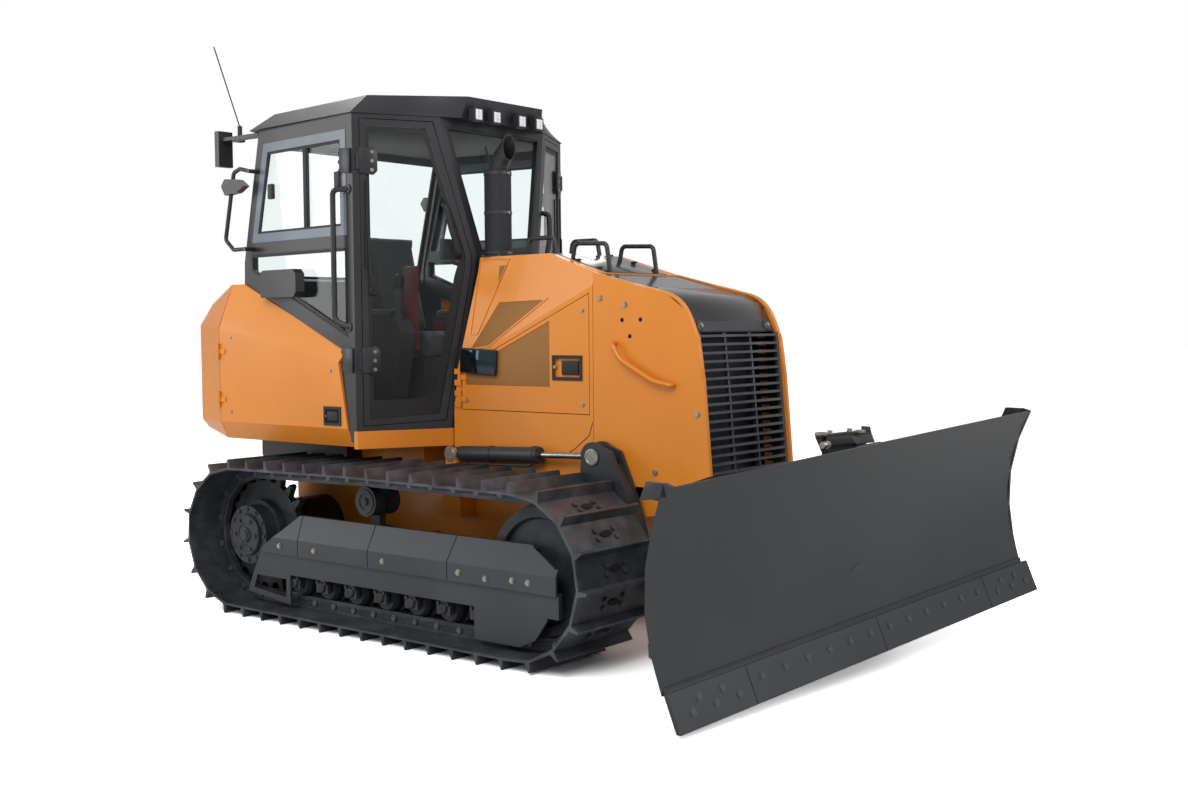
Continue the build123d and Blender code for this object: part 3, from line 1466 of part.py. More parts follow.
# ---------------------------------------------------------------- hydraulic cylinders
angle_pairs = []
for side in (-1, 1):
    start = Vector(angle_base_x, side * angle_base_y, angle_z)
    end = yoke_frame.from_local_coords(Vector(angle_eye_x, side * angle_arm, angle_z))
    angle_pairs.append((cylinder_frame(start, end, Vector(0, 0, 1)), (end - start).length))
tilt_start = yoke_frame.from_local_coords(Vector(tilt_x, tilt_base_y, tilt_z))
tilt_end = blade_frame.from_local_coords(
    Vector(tilt_x - blade_reach, tilt_eye_y - blade_shift, tilt_z - tilt_pin_z + blade_drop))
tilt_frame = cylinder_frame(tilt_start, tilt_end, yaw_forward)
tilt_reach = (tilt_end - tilt_start).length
angle_barrel_r = 33.0
angle_barrel_length = 376.0
angle_longest = 718.0
tilt_barrel_r = 36.0
tilt_barrel_length = 348.0
tilt_longest = 598.0
end_grip = 20.0


def both(part):
    """A piece and its mirror image as the separate solids of one node."""
    return Compound(children=[*part.solids(), *mirrored(part).solids()])


nodes = {
    "main_frame": make_main_frame(),
    "drawbar": make_drawbar(),
    "track_frames": both(make_track_frame()),
    "rollers": both(make_rollers()),
    "idlers": both(make_idler()),
    "sprockets": both(make_sprocket()),
    "track_guards": both(make_guard()),
    "track_right": make_track(),
    "engine_block": make_engine(),
    "radiator": make_radiator(),
    "engine_cover": make_engine_cover(),
    "engine_door_right": make_engine_door(),
    "cowl": make_cowl(),
    "hood_top": make_hood_top(),
    "grille": make_grille(),
    "exhaust": make_exhaust(),
    "hood_handles": make_handles(),
    "rear_tank": make_tank(),
    "side_pods": make_pods(),
    "service_door_right": make_service_door(),
    "cab_shell": make_cab_shell(),
    "cab_floor": make_cab_floor(),
    "cab_glass": make_cab_glass(),
    "cab_door_right": make_cab_door(),
    "door_glass_right": make_door_glass(),
    "cab_roof": make_roof(),
    "roof_lamps": make_roof_lamps(),
    "door_sills": both(make_sill()),
    "hood_rails": both(make_hood_rail()),
    "cab_rails": both(make_cab_rail()),
    "rear_fittings": make_rear_fittings(),
    "sill_box": make_sill_box(),
    "body_supports": both(make_body_support()),
    "consoles": make_consoles(),
    "dash": make_dash(),
    "c_frame": make_c_frame(),
    "blade_yoke": make_yoke(),
    "blade": make_blade(),
    "cutting_edges": make_edges(),
    "lift_barrel_right": make_barrel(lift_frame, barrel_r, rod_r, lift_barrel_length, eye_pin_r, eye_width),
    "lift_rod_right": make_rod(
        lift_frame, lift_reach, rod_r, lift_overlap, lift_barrel_length, eye_pin_r, eye_width),
    "tilt_barrel": make_barrel(tilt_frame, tilt_barrel_r, rod_r, tilt_barrel_length, eye_pin_r, eye_width),
    "tilt_rod": make_rod(
        tilt_frame, tilt_reach, rod_r, tilt_longest + end_grip - tilt_reach, tilt_barrel_length, eye_pin_r, eye_width),
}
nodes["seat_base"], nodes["seat_cushion"], nodes["seat_back"] = make_seat()
for name in [name for name in nodes if name.endswith("_right")]:
    nodes[name.replace("_right", "_left")] = mirrored(nodes[name])
for name, (frame, reach) in zip(("right", "left"), angle_pairs):
    nodes[f"angle_barrel_{name}"] = make_barrel(
        frame, angle_barrel_r, rod_r, angle_barrel_length, eye_pin_r, eye_width)
    nodes[f"angle_rod_{name}"] = make_rod(
        frame, reach, rod_r, angle_longest + end_grip - reach, angle_barrel_length, eye_pin_r, eye_width)
for name, part in nodes.items():
    export(part, name)
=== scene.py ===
"""Dressed model of a tracked bulldozer: finishes, fittings, cushions, stage and camera.

Lengths in the tables are millimetres in the machine's frame: +X forward, +Y left, +Z up.
"""

import json
import logging
import math
from dataclasses import dataclass, field
from enum import Enum
from typing import Sequence

import bmesh
import bpy
from mathutils import Matrix, Vector

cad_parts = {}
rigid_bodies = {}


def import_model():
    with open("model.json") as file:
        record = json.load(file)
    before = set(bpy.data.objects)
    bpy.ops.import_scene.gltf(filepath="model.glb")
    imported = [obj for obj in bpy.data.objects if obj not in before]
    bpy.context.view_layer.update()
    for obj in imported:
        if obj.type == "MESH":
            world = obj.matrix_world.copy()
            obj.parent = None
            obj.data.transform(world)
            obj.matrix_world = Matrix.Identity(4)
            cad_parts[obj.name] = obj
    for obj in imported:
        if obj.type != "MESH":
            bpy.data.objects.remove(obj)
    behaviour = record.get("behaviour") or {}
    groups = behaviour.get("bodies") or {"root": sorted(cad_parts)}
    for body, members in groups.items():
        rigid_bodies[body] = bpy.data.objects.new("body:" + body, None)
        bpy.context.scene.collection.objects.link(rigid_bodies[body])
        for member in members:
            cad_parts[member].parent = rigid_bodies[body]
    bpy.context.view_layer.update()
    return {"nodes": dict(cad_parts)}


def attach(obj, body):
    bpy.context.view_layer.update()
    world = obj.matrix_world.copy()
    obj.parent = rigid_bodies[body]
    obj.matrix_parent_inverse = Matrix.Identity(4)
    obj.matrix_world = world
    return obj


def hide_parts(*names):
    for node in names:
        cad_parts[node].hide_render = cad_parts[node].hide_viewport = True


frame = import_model()

logging.basicConfig(level=logging.INFO, format="%(message)s")
LOG = logging.getLogger("bulldozer")
MM = 0.001
Point = Sequence[float]
Outline = Sequence[tuple[float, float]]
Piece = bpy.types.Object
Tree = bpy.types.NodeTree
Socket = bpy.types.NodeSocket


# ---------------------------------------------------------------- colour and node helpers
def linear(code: str) -> tuple[float, float, float, float]:
    """Turn an sRGB hex colour into linear values.

    Args:
        code: Six hex digits, such as "F2A03D".

    Returns:
        Linear red, green, blue and an alpha of one.
    """
    values = [int(code[i:i + 2], 16) / 255 for i in (0, 2, 4)]
    out = [v / 12.92 if v <= 0.04045 else ((v + 0.055) / 1.055) ** 2.4 for v in values]
    return out[0], out[1], out[2], 1.0


def add_node(tree: Tree, kind: str, settings: dict | None = None,
             links: dict | None = None) -> bpy.types.Node:
    """Add one node with its settings and links.

    Args:
        tree: Node tree that receives the node.
        kind: Blender's name of the node type.
        settings: Values by attribute name, or by input name or number.
        links: Output sockets by input name or number.

    Returns:
        The new node.
    """
    node = tree.nodes.new(kind)
    for key, value in (settings or {}).items():
        if isinstance(key, str) and hasattr(node, key):
            setattr(node, key, value)
        else:
            node.inputs[key].default_value = value
    for key, socket in (links or {}).items():
        tree.links.new(socket, node.inputs[key])
    return node


def ramp(tree: Tree, source: Socket, stops: Sequence[tuple[float, str]]) -> Socket:
    """Add a colour ramp over a value.

    Args:
        tree: Node tree that receives the ramp.
        source: Value that drives it.
        stops: Pairs of position and hex colour.

    Returns:
        The ramp's colour output.
    """
    node = add_node(tree, "ShaderNodeValToRGB", links={"Fac": source})
    elements = node.color_ramp.elements
    while len(elements) < len(stops):
        elements.new(0.5)
    for element, (place, code) in zip(elements, stops):
        element.position = place
        element.color = linear(code)
    return node.outputs["Color"]


# ---------------------------------------------------------------- finishes
@dataclass(frozen=True)
class Finish:
    """A surface finish made of a colour with slow variation, fine grain and gloss.

    Attributes:
        name: Material name.
        tones: Dark, middle and light hex colours of the slow variation.
        rough: Middle roughness.
        metallic: Zero for paint and plastic, one for bare metal.
        coat: Strength of a clear top layer.
        patch_mm: Size of the slow colour patches.
        grain_mm: Size of the fine surface grain.
        grain_depth: Strength of the grain's bump.
        rough_swing: How far roughness moves with the patches.
        dust: Share of pale dust that lies on upward faces.
        sheen: Strength of soft edge sheen, for cloth and grained plastic.
    """

    name: str
    tones: tuple[str, str, str]
    rough: float
    metallic: float = 0.0
    coat: float = 0.0
    patch_mm: float = 400.0
    grain_mm: float = 1.5
    grain_depth: float = 0.05
    rough_swing: float = 0.08
    dust: float = 0.0
    sheen: float = 0.0

    def build(self) -> bpy.types.Material:
        """Make the material.

        Returns:
            The finished material.
        """
        material = bpy.data.materials.new(self.name)
        material.use_nodes = True
        tree = material.node_tree
        shader = tree.nodes["Principled BSDF"]
        shader.inputs["Metallic"].default_value = self.metallic
        shader.inputs["Coat Weight"].default_value = self.coat
        shader.inputs["Coat Roughness"].default_value = 0.08
        shader.inputs["Sheen Weight"].default_value = self.sheen
        place = add_node(tree, "ShaderNodeTexCoord").outputs["Object"]
        slow = add_node(tree, "ShaderNodeTexNoise", {"Scale": 1 / (self.patch_mm * MM), "Detail": 4.0},
                        {"Vector": place}).outputs["Fac"]
        colour = ramp(tree, slow, [(0.3, self.tones[0]), (0.5, self.tones[1]), (0.7, self.tones[2])])
        if self.dust > 0:
            colour = self.dusted(tree, colour, slow)
        tree.links.new(colour, shader.inputs["Base Color"])
        swing = add_node(tree, "ShaderNodeMapRange", {"To Min": self.rough - self.rough_swing,
                                                      "To Max": self.rough + self.rough_swing}, {"Value": slow})
        tree.links.new(swing.outputs[0], shader.inputs["Roughness"])
        fine = add_node(tree, "ShaderNodeTexNoise", {"Scale": 1 / (self.grain_mm * MM), "Detail": 2.0},
                        {"Vector": place}).outputs["Fac"]
        bump = add_node(tree, "ShaderNodeBump", {"Strength": self.grain_depth, "Distance": self.grain_mm * MM},
                        {"Height": fine})
        tree.links.new(bump.outputs[0], shader.inputs["Normal"])
        return material

    def dusted(self, tree: Tree, colour: Socket,
               slow: Socket) -> Socket:
        """Lay thin dust on the faces that look up.

        Args:
            tree: The material's node tree.
            colour: Colour below the dust.
            slow: Slow noise that breaks the dust up.

        Returns:
            The dusted colour.
        """
        normal = add_node(tree, "ShaderNodeNewGeometry").outputs["Normal"]
        up = add_node(tree, "ShaderNodeSeparateXYZ", links={0: normal}).outputs["Z"]
        share = add_node(tree, "ShaderNodeMapRange", {"From Min": 0.2, "From Max": 1.0, "To Max": self.dust},
                         {"Value": up}).outputs[0]
        broken = add_node(tree, "ShaderNodeMath", {"operation": "MULTIPLY"}, {0: share, 1: slow}).outputs[0]
        mix = add_node(tree, "ShaderNodeMix", {"data_type": "RGBA", 7: linear("8A8378")}, {0: broken, 6: colour})
        return mix.outputs[2]


@dataclass(frozen=True)
class Perforated:
    """Punched or woven sheet: round dark holes on a staggered grid over a metal colour.

    Attributes:
        name: Material name.
        sheet: Hex colour of the sheet.
        hole: Hex colour seen through the holes.
        pitch_mm: Distance between holes.
        open_share: Hole radius as a share of the pitch.
        flat_axis: Axis across the sheet, left out of the pattern: 0, 1 or 2.
        rough: Roughness of the sheet.
        wrap: Forward and left place of an upright axis and the radius of a sheet rolled round it.
    """

    name: str
    sheet: str
    hole: str
    pitch_mm: float
    open_share: float
    flat_axis: int
    rough: float = 0.55
    wrap: tuple[float, float, float] | None = None

    def build(self) -> bpy.types.Material:
        """Make the material.

        Returns:
            The finished material.
        """
        material = bpy.data.materials.new(self.name)
        material.use_nodes = True
        tree = material.node_tree
        shader = tree.nodes["Principled BSDF"]
        shader.inputs["Metallic"].default_value = 0.2
        shader.inputs["Roughness"].default_value = self.rough
        place = add_node(tree, "ShaderNodeTexCoord").outputs["Object"]
        if self.wrap:
            place = self.unrolled(tree, place)
        scale = [1 / (self.pitch_mm * MM)] * 3
        scale[self.flat_axis] = 0.0
        turn = [0.0, 0.0, 0.0]
        turn[self.flat_axis] = math.radians(45)
        grid = add_node(tree, "ShaderNodeMapping", {"Scale": scale, "Rotation": turn}, {"Vector": place}).outputs[0]
        dots = add_node(tree, "ShaderNodeTexVoronoi", {"Scale": 1.0, "Randomness": 0.0},
                        {"Vector": grid}).outputs["Distance"]
        edge = add_node(tree, "ShaderNodeMapRange", {"From Min": self.open_share - 0.06,
                                                     "From Max": self.open_share + 0.06}, {"Value": dots}).outputs[0]
        colour = ramp(tree, edge, [(0.0, self.hole), (1.0, self.sheet)])
        tree.links.new(colour, shader.inputs["Base Color"])
        bump = add_node(tree, "ShaderNodeBump", {"Strength": 0.6, "Distance": 0.002}, {"Height": edge})
        tree.links.new(bump.outputs[0], shader.inputs["Normal"])
        return material

    def unrolled(self, tree: Tree, place: Socket) -> Socket:
        """Unroll the place round the upright axis: distance round it, then height.

        Args:
            tree: The material's node tree.
            place: Object coordinates.

        Returns:
            The flat coordinates, in the second and third components.
        """
        x, y, radius = (v * MM for v in self.wrap)
        parts = add_node(tree, "ShaderNodeSeparateXYZ", links={0: place}).outputs
        away = [add_node(tree, "ShaderNodeMath", {"operation": "SUBTRACT", 1: middle}, {0: parts[i]}).outputs[0]
                for i, middle in enumerate((x, y))]
        angle = add_node(tree, "ShaderNodeMath", {"operation": "ARCTAN2"}, {0: away[1], 1: away[0]}).outputs[0]
        around = add_node(tree, "ShaderNodeMath", {"operation": "MULTIPLY", 1: radius}, {0: angle}).outputs[0]
        return add_node(tree, "ShaderNodeCombineXYZ", links={1: around, 2: parts[2]}).outputs[0]


@dataclass(frozen=True)
class Glazing:
    """Laminated safety glass with a light tint.

    Attributes:
        name: Material name.
        tint: Hex colour of the glass body.
        clear: Share of the light that goes straight through.
    """

    name: str
    tint: str
    clear: float

    def build(self) -> bpy.types.Material:
        """Make the material.

        Returns:
            The finished material.
        """
        material = bpy.data.materials.new(self.name)
        material.use_nodes = True
        tree = material.node_tree
        shader = tree.nodes["Principled BSDF"]
        shader.inputs["Base Color"].default_value = linear("F2F4F4")
        shader.inputs["Metallic"].default_value = 1.0
        shader.inputs["Roughness"].default_value = 0.02
        through = add_node(tree, "ShaderNodeBsdfTransparent", {"Color": linear(self.tint)})
        slant = add_node(tree, "ShaderNodeLayerWeight", {"Blend": 0.5}).outputs["Facing"]
        mirror = add_node(tree, "ShaderNodeMath", {"operation": "POWER", 1: 5.0}, {0: slant})
        share = add_node(tree, "ShaderNodeMapRange", {"To Min": 1 - self.clear, "To Max": 1.0},
                         {"Value": mirror.outputs[0]})
        mix = add_node(tree, "ShaderNodeMixShader", links={0: share.outputs[0], 1: through.outputs[0],
                                                           2: shader.outputs[0]})
        tree.links.new(mix.outputs[0], tree.nodes["Material Output"].inputs["Surface"])
        return material


class Coat(Enum):
    """Finishes of the machine, each made once."""

    # Two-pack enamel over primer: even, glossy, a little orange peel
    YELLOW = Finish("sprayed_enamel_yellow", ("DC8324", "E48A28", "EA9230"), 0.36, coat=0.15, patch_mm=900,
                    grain_mm=3.0, grain_depth=0.03)
    # Powder coat on the cab steel: fine texture, low gloss
    CAB_BLACK = Finish("powder_coat_black", ("222326", "2A2B2F", "323438"), 0.4, coat=0.1, patch_mm=600,
                       grain_mm=1.6, grain_depth=0.08)
    # Dark grey enamel on the push frame, guards and cylinders
    BLADE_GREY = Finish("sprayed_enamel_charcoal", ("2D3033", "34373B", "3C4044"), 0.44, patch_mm=700,
                        grain_mm=2.5, grain_depth=0.05)
    # Deeper grey enamel on the blade and its edges
    BLADE_DARK = Finish("sprayed_enamel_graphite", ("202326", "26292C", "2D3033"), 0.42, patch_mm=800,
                        grain_mm=2.5, grain_depth=0.05)
    # Rolled and heat-treated steel shoes with thin dark paint
    TRACK = Finish("rolled_steel_painted_dark", ("383B3F", "474A4F", "5A5E64"), 0.42, metallic=0.4, patch_mm=120,
                   grain_mm=4.0, grain_depth=0.14)
    # Cast steel rollers, hubs and idlers
    CAST = Finish("cast_steel_dark", ("26282B", "303336", "3B3E42"), 0.5, metallic=0.25, patch_mm=90,
                  grain_mm=5.0, grain_depth=0.2)
    # Hard chrome on ground piston rods
    CHROME = Finish("hard_chrome_ground", ("B9BDC1", "C6CACD", "D2D5D8"), 0.14, metallic=1.0, patch_mm=60,
                    grain_mm=0.8, grain_depth=0.01, rough_swing=0.03)
    # Zinc-plated bolt heads and pin caps
    ZINC = Finish("zinc_plated_steel", ("8F8D84", "A5A298", "B8B5AA"), 0.38, metallic=0.85, patch_mm=25,
                  grain_mm=1.0, grain_depth=0.06)
    # Moulded rubber seals, wiper blades, hoses
    RUBBER = Finish("moulded_rubber_black", ("141516", "1A1B1C", "212223"), 0.55, patch_mm=200, grain_mm=1.2,
                    grain_depth=0.06)
    # Grained ABS of the consoles
    PLASTIC = Finish("grained_abs_charcoal", ("26272A", "2F3033", "38393D"), 0.6, patch_mm=250, grain_mm=1.6,
                     grain_depth=0.18, sheen=0.1, dust=0.1)
    # Dark red moulded trim in the cab
    RED_TRIM = Finish("moulded_abs_dark_red", ("4A1512", "5C1C17", "6A241E"), 0.5, patch_mm=200, grain_mm=1.6,
                      grain_depth=0.12)
    # Fire-proof polyester weave on the seat
    CLOTH = Finish("woven_polyester_grey", ("232427", "2B2C30", "35373B"), 0.85, patch_mm=60, grain_mm=2.2,
                   grain_depth=0.35, sheen=0.4)
    # Grey-blue enamel on the sliding window's frame
    FRAME_BLUE = Finish("sprayed_enamel_slate", ("5A646F", "66717D", "737E8A"), 0.36, coat=0.2, patch_mm=300)
    # Polished black sheet over the hood
    GLOSS_BLACK = Finish("gloss_sheet_black", ("141617", "1A1C1E", "222426"), 0.2, coat=0.4, patch_mm=500,
                         grain_depth=0.01)
    # Steel worn bare on its working faces
    WORN = Finish("worn_rolled_steel", ("5A5C5F", "6C6E70", "808284"), 0.42, metallic=0.7, patch_mm=40, grain_mm=2.0,
                  grain_depth=0.12)
    # Dark grey steel bars of the grille
    BAR = Finish("sprayed_enamel_bar_grey", ("3C3F45", "484B52", "555960"), 0.38, coat=0.1, patch_mm=200)
    # Unlit insides of holes and seams
    PIT = Finish("shadowed_hole", ("070707", "090909", "0B0B0B"), 0.9, grain_depth=0.0)
    # Silvered glass with a dark tint
    MIRROR = Finish("silvered_glass_dark", ("2A3437", "36444A", "44545A"), 0.06, metallic=0.9, grain_depth=0.0,
                    rough_swing=0.02)
    # Woven cooling sheet over the engine side
    MESH_SIDE = Perforated("woven_sheet_tan", "BE8344", "6E4C28", 6.0, 0.36, 1)
    # Punched heat guard around the exhaust pipe
    MESH_PIPE = Perforated("punched_guard_black", "2E3036", "08080A", 13.0, 0.34, 0, wrap=(-185.7, -190.0, 74.0))
    # Laminated glass with a faint green cast
    GLASS = Glazing("laminated_glass_clear", "FCFEFE", 0.985)
    LENS = Finish("frosted_lens_white", ("C9D0D4", "E0E5E8", "F2F5F7"), 0.25, coat=0.8, patch_mm=20, grain_mm=4.0,
                  grain_depth=0.3)
    LENS_CELL = Finish("clear_lens_cell", ("F0F4F6", "F8FAFB", "FFFFFF"), 0.12, coat=0.9, grain_depth=0.0)


# ---------------------------------------------------------------- shaping helpers
def at(point: Point) -> Vector:
    """Turn a point in millimetres into metres."""
    return Vector(point) * MM


def deselect() -> None:
    """Leave nothing selected, in object mode."""
    if bpy.context.object and bpy.context.object.mode != "OBJECT":
        bpy.ops.object.mode_set(mode="OBJECT")
    bpy.ops.object.select_all(action="DESELECT")


def settle(piece: Piece, name: str) -> Piece:
    """Name a piece and put its place into its mesh.

    Args:
        piece: The active object.
        name: Its new name.

    Returns:
        The same object, at the origin.
    """
    bpy.ops.object.transform_apply(location=True, rotation=True, scale=True)
    piece.name = name
    piece.data.name = name
    return piece


def block(name: str, low: Point, high: Point, soften: float = 4.0, segments: int = 2) -> Piece:
    """Make a softened block between two corners.

    Args:
        name: Piece name.
        low: Lowest corner.
        high: Highest corner.
        soften: Edge rounding.
        segments: Steps in the rounding.

    Returns:
        The finished block.
    """
    deselect()
    low_m, high_m = at(low), at(high)
    bpy.ops.mesh.primitive_cube_add(size=1, location=(low_m + high_m) / 2)
    piece = bpy.context.object
    piece.scale = high_m - low_m
    bpy.ops.object.transform_apply(location=False, rotation=False, scale=True)
    bpy.ops.object.mode_set(mode="EDIT")
    bpy.ops.mesh.select_all(action="SELECT")
    if soften > 0:
        bpy.ops.mesh.bevel(offset=soften * MM, segments=segments, affect="EDGES")
    bpy.ops.object.mode_set(mode="OBJECT")
    settle(piece, name)
    bpy.ops.object.shade_smooth_by_angle(angle=math.radians(35))
    return piece


def plate(name: str, outline: Sequence[Point], push: Point, soften: float = 1.5) -> Piece:
    """Make a flat plate from a ring of corner points.

    Args:
        name: Piece name.
        outline: Corners of the front face, in order.
        push: Direction and depth to the back face.
        soften: Edge rounding.

    Returns:
        The finished plate.
    """
    deselect()
    bpy.ops.mesh.primitive_circle_add(vertices=len(outline), radius=1, fill_type="NGON")
    piece = bpy.context.object
    for vertex, point in zip(piece.data.vertices, outline):
        vertex.co = at(point)
    bpy.ops.object.mode_set(mode="EDIT")
    bpy.ops.mesh.select_all(action="SELECT")
    bpy.ops.mesh.extrude_region_move(TRANSFORM_OT_translate={"value": at(push)})
    bpy.ops.mesh.select_all(action="SELECT")
    bpy.ops.mesh.normals_make_consistent(inside=False)
    if soften > 0:
        bpy.ops.mesh.bevel(offset=soften * MM, segments=2, affect="EDGES")
    bpy.ops.object.mode_set(mode="OBJECT")
    settle(piece, name)
    bpy.ops.object.shade_smooth_by_angle(angle=math.radians(35))
    return piece


def turned(name: str, start: Point, along: Point, steps: Outline,
           sides: int = 24, ring: bool = False) -> Piece:
    """Make a turned piece from rings along an axis.

    Args:
        name: Piece name.
        start: Centre of the first ring.
        along: Direction of the axis.
        steps: Distance along the axis and radius of each ring.
        sides: Corners of each ring.
        ring: Leave it open along its axis, from the first ring to the last.

    Returns:
        The finished piece, capped at both ends or with a bore.
    """
    deselect()
    turn = Vector(along).normalized().to_track_quat("Z", "Y")
    bpy.ops.mesh.primitive_circle_add(vertices=sides, radius=1, fill_type="NGON")
    piece = bpy.context.object
    bpy.ops.object.mode_set(mode="EDIT")
    bpy.ops.mesh.select_all(action="SELECT")
    here, size = 0.0, 1.0
    for i, (far, radius) in enumerate(steps):
        if i:
            bpy.ops.mesh.extrude_region_move()
        bpy.ops.transform.translate(value=(0, 0, (far - here) * MM))
        bpy.ops.transform.resize(value=(radius * MM / size,) * 3, center_override=(0, 0, far * MM))
        here, size = far, radius * MM
    if ring:
        mesh = bmesh.from_edit_mesh(piece.data)
        bmesh.ops.delete(mesh, geom=[face for face in mesh.faces if len(face.verts) == sides], context="FACES_ONLY")
        bmesh.ops.bridge_loops(mesh, edges=[edge for edge in mesh.edges if edge.is_boundary])
        bmesh.update_edit_mesh(piece.data)
    bpy.ops.mesh.select_all(action="SELECT")
    bpy.ops.mesh.normals_make_consistent(inside=False)
    bpy.ops.object.mode_set(mode="OBJECT")
    piece.matrix_world = Matrix.Translation(at(start)) @ turn.to_matrix().to_4x4()
    settle(piece, name)
    bpy.ops.object.shade_smooth_by_angle(angle=math.radians(35))
    return piece


def bolts(name: str, places: Sequence[tuple[Point, Point]], radius: float = 11.0, height: float = 8.0,
          sides: int = 6) -> Piece:
    """Make a set of bolt heads with washers as one piece.

    Args:
        name: Piece name.
        places: Seat point and outward direction of each bolt.
        radius: Corner radius of the head.
        height: Height of the head.
        sides: Corners of the head.

    Returns:
        The joined set.
    """
    steps = ((-1.5, radius * 1.25), (height * 0.2, radius * 1.25), (height * 0.22, radius), (height, radius * 0.96))
    first = turned(name, (0, 0, 0), (0, 0, 1), steps, sides if sides > 8 else sides * 2)
    model = first.data
    rows = []
    for seat, outward in places:
        turn = Vector(outward).normalized().to_track_quat("Z", "Y").to_matrix().to_4x4()
        rows.append(Matrix.Translation(at(seat)) @ turn)
    mesh = bmesh.new()
    for place in rows:
        copy = model.copy()
        copy.transform(place)
        mesh.from_mesh(copy)
        bpy.data.meshes.remove(copy)
    mesh.to_mesh(model)
    mesh.free()
    return first


def rounded(path: Sequence[Point], bend: float, steps: int = 5) -> list[Vector]:
    """Round the corners of a path.

    Args:
        path: Corner points.
        bend: Distance from each corner at which its bend starts.
        steps: Points in each bend.

    Returns:
        The path with its bends.
    """
    points = [Vector(p) for p in path]
    out = [points[0]]
    for a, b, c in zip(points, points[1:], points[2:]):
        reach = min(bend, (b - a).length * 0.48, (c - b).length * 0.48)
        start, end = b + (a - b).normalized() * reach, b + (c - b).normalized() * reach
        for i in range(steps + 1):
            t = i / steps
            out.append(start * (1 - t) ** 2 + b * 2 * t * (1 - t) + end * t * t)
    out.append(points[-1])
    return out


def tube(name: str, path: Sequence[Point], radius: float, bend: float = 30.0, sides: int = 3) -> Piece:
    """Make a bent tube along a path.

    Args:
        name: Piece name.
        path: Corner points of the tube's centre line.
        radius: Tube radius.
        bend: Distance from each corner at which its bend starts.
        sides: Bevel resolution.

    Returns:
        The tube as a mesh with closed ends.
    """
    deselect()
    bpy.ops.curve.primitive_nurbs_path_add()
    piece = bpy.context.object
    line = piece.data
    line.splines.clear()
    points = rounded(path, bend)
    spline = line.splines.new("POLY")
    spline.points.add(len(points) - 1)
    for slot, point in zip(spline.points, points):
        slot.co = (*(point * MM), 1)
    line.dimensions = "3D"
    line.bevel_depth = radius * MM
    line.bevel_resolution = sides
    line.use_fill_caps = True
    bpy.ops.object.convert(target="MESH")
    piece = bpy.context.object
    settle(piece, name)
    bpy.ops.object.shade_smooth_by_angle(angle=math.radians(40))
    return piece


def join(name: str, pieces: Sequence[Piece]) -> Piece:
    """Join pieces of one finish into one mesh.

    Args:
        name: Name of the result.
        pieces: Pieces to join.

    Returns:
        The joined piece.
    """
    deselect()
    for piece in pieces:
        piece.select_set(True)
    bpy.context.view_layer.objects.active = pieces[0]
    if len(pieces) > 1:
        bpy.ops.object.join()
    pieces[0].name = name
    pieces[0].data.name = name
    return pieces[0]


def flip_side(point: Point) -> tuple[float, float, float]:
    """Mirror a point or direction to the machine's other side."""
    return point[0], -point[1], point[2]


def handed(points: Sequence[Point], side: int) -> list[Vector]:
    """Keep points of the right side, or mirror them for the left.

    Args:
        points: Points or directions of the right side.
        side: -1 for the right side, 1 for the left.

    Returns:
        The points of that side.
    """
    return [Vector(flip_side(p)) if side > 0 else Vector(p) for p in points]


def stamped(name: str, shapes: Sequence[tuple[Sequence[Point], Point]]) -> Piece:
    """Make many small flat plates as one piece.

    Args:
        name: Piece name.
        shapes: Corner ring and push of each plate.

    Returns:
        The finished piece.
    """
    deselect()
    bpy.ops.mesh.primitive_plane_add(size=1)
    piece = bpy.context.object
    mesh = bmesh.new()
    for ring, push in shapes:
        low = [mesh.verts.new(at(p)) for p in ring]
        high = [mesh.verts.new(at(Vector(p) + Vector(push))) for p in ring]
        mesh.faces.new(low)
        mesh.faces.new(high)
        for i in range(len(low)):
            j = (i + 1) % len(low)
            mesh.faces.new((low[i], low[j], high[j], high[i]))
    bmesh.ops.recalc_face_normals(mesh, faces=mesh.faces[:])
    mesh.to_mesh(piece.data)
    mesh.free()
    return settle(piece, name)


def upright(x: float, y: float, z: float, half_wide: float, half_high: float) -> list[tuple[float, float, float]]:
    """Give the corners of an upright rectangle that faces along X.

    Args:
        x: Forward place.
        y: Left place of its middle.
        z: Height of its middle.
        half_wide: Half its width.
        half_high: Half its height.

    Returns:
        The four corners in order.
    """
    return [(x, y + a * half_wide, z + b * half_high) for a, b in ((-1, -1), (1, -1), (1, 1), (-1, 1))]


def inset(outline: Outline, wide: float) -> list[tuple[float, float]]:
    """Draw a convex outline in by a width.

    Args:
        outline: Corners in order.
        wide: Distance to move each edge; less than zero draws it out.

    Returns:
        The corners of the new outline.
    """
    pairs = list(zip(outline, [*outline[1:], outline[0]]))
    turn = 1 if sum(a[0] * b[1] - b[0] * a[1] for a, b in pairs) > 0 else -1
    lines = []
    for a, b in pairs:
        length = math.dist(a, b)
        normal = (-(b[1] - a[1]) / length * turn, (b[0] - a[0]) / length * turn)
        lines.append((normal, normal[0] * a[0] + normal[1] * a[1] + wide))
    corners = []
    for (n, c), (m, d) in zip([lines[-1], *lines[:-1]], lines):
        det = n[0] * m[1] - n[1] * m[0]
        corners.append(((c * m[1] - d * n[1]) / det, (n[0] * d - m[0] * c) / det))
    return corners


# record slot that a finish fills unless a piece names another; the rest fill black_paint
USUAL_SLOT = {
    Coat.TRACK: "track_steel", Coat.WORN: "track_steel", Coat.CAST: "cast_steel", Coat.ZINC: "cast_steel",
    Coat.YELLOW: "yellow_paint", Coat.MESH_SIDE: "yellow_paint", Coat.BLADE_GREY: "charcoal_paint",
    Coat.BLADE_DARK: "charcoal_paint", Coat.PLASTIC: "cab_plastic", Coat.RED_TRIM: "cab_plastic",
    Coat.CLOTH: "seat_cloth",
}


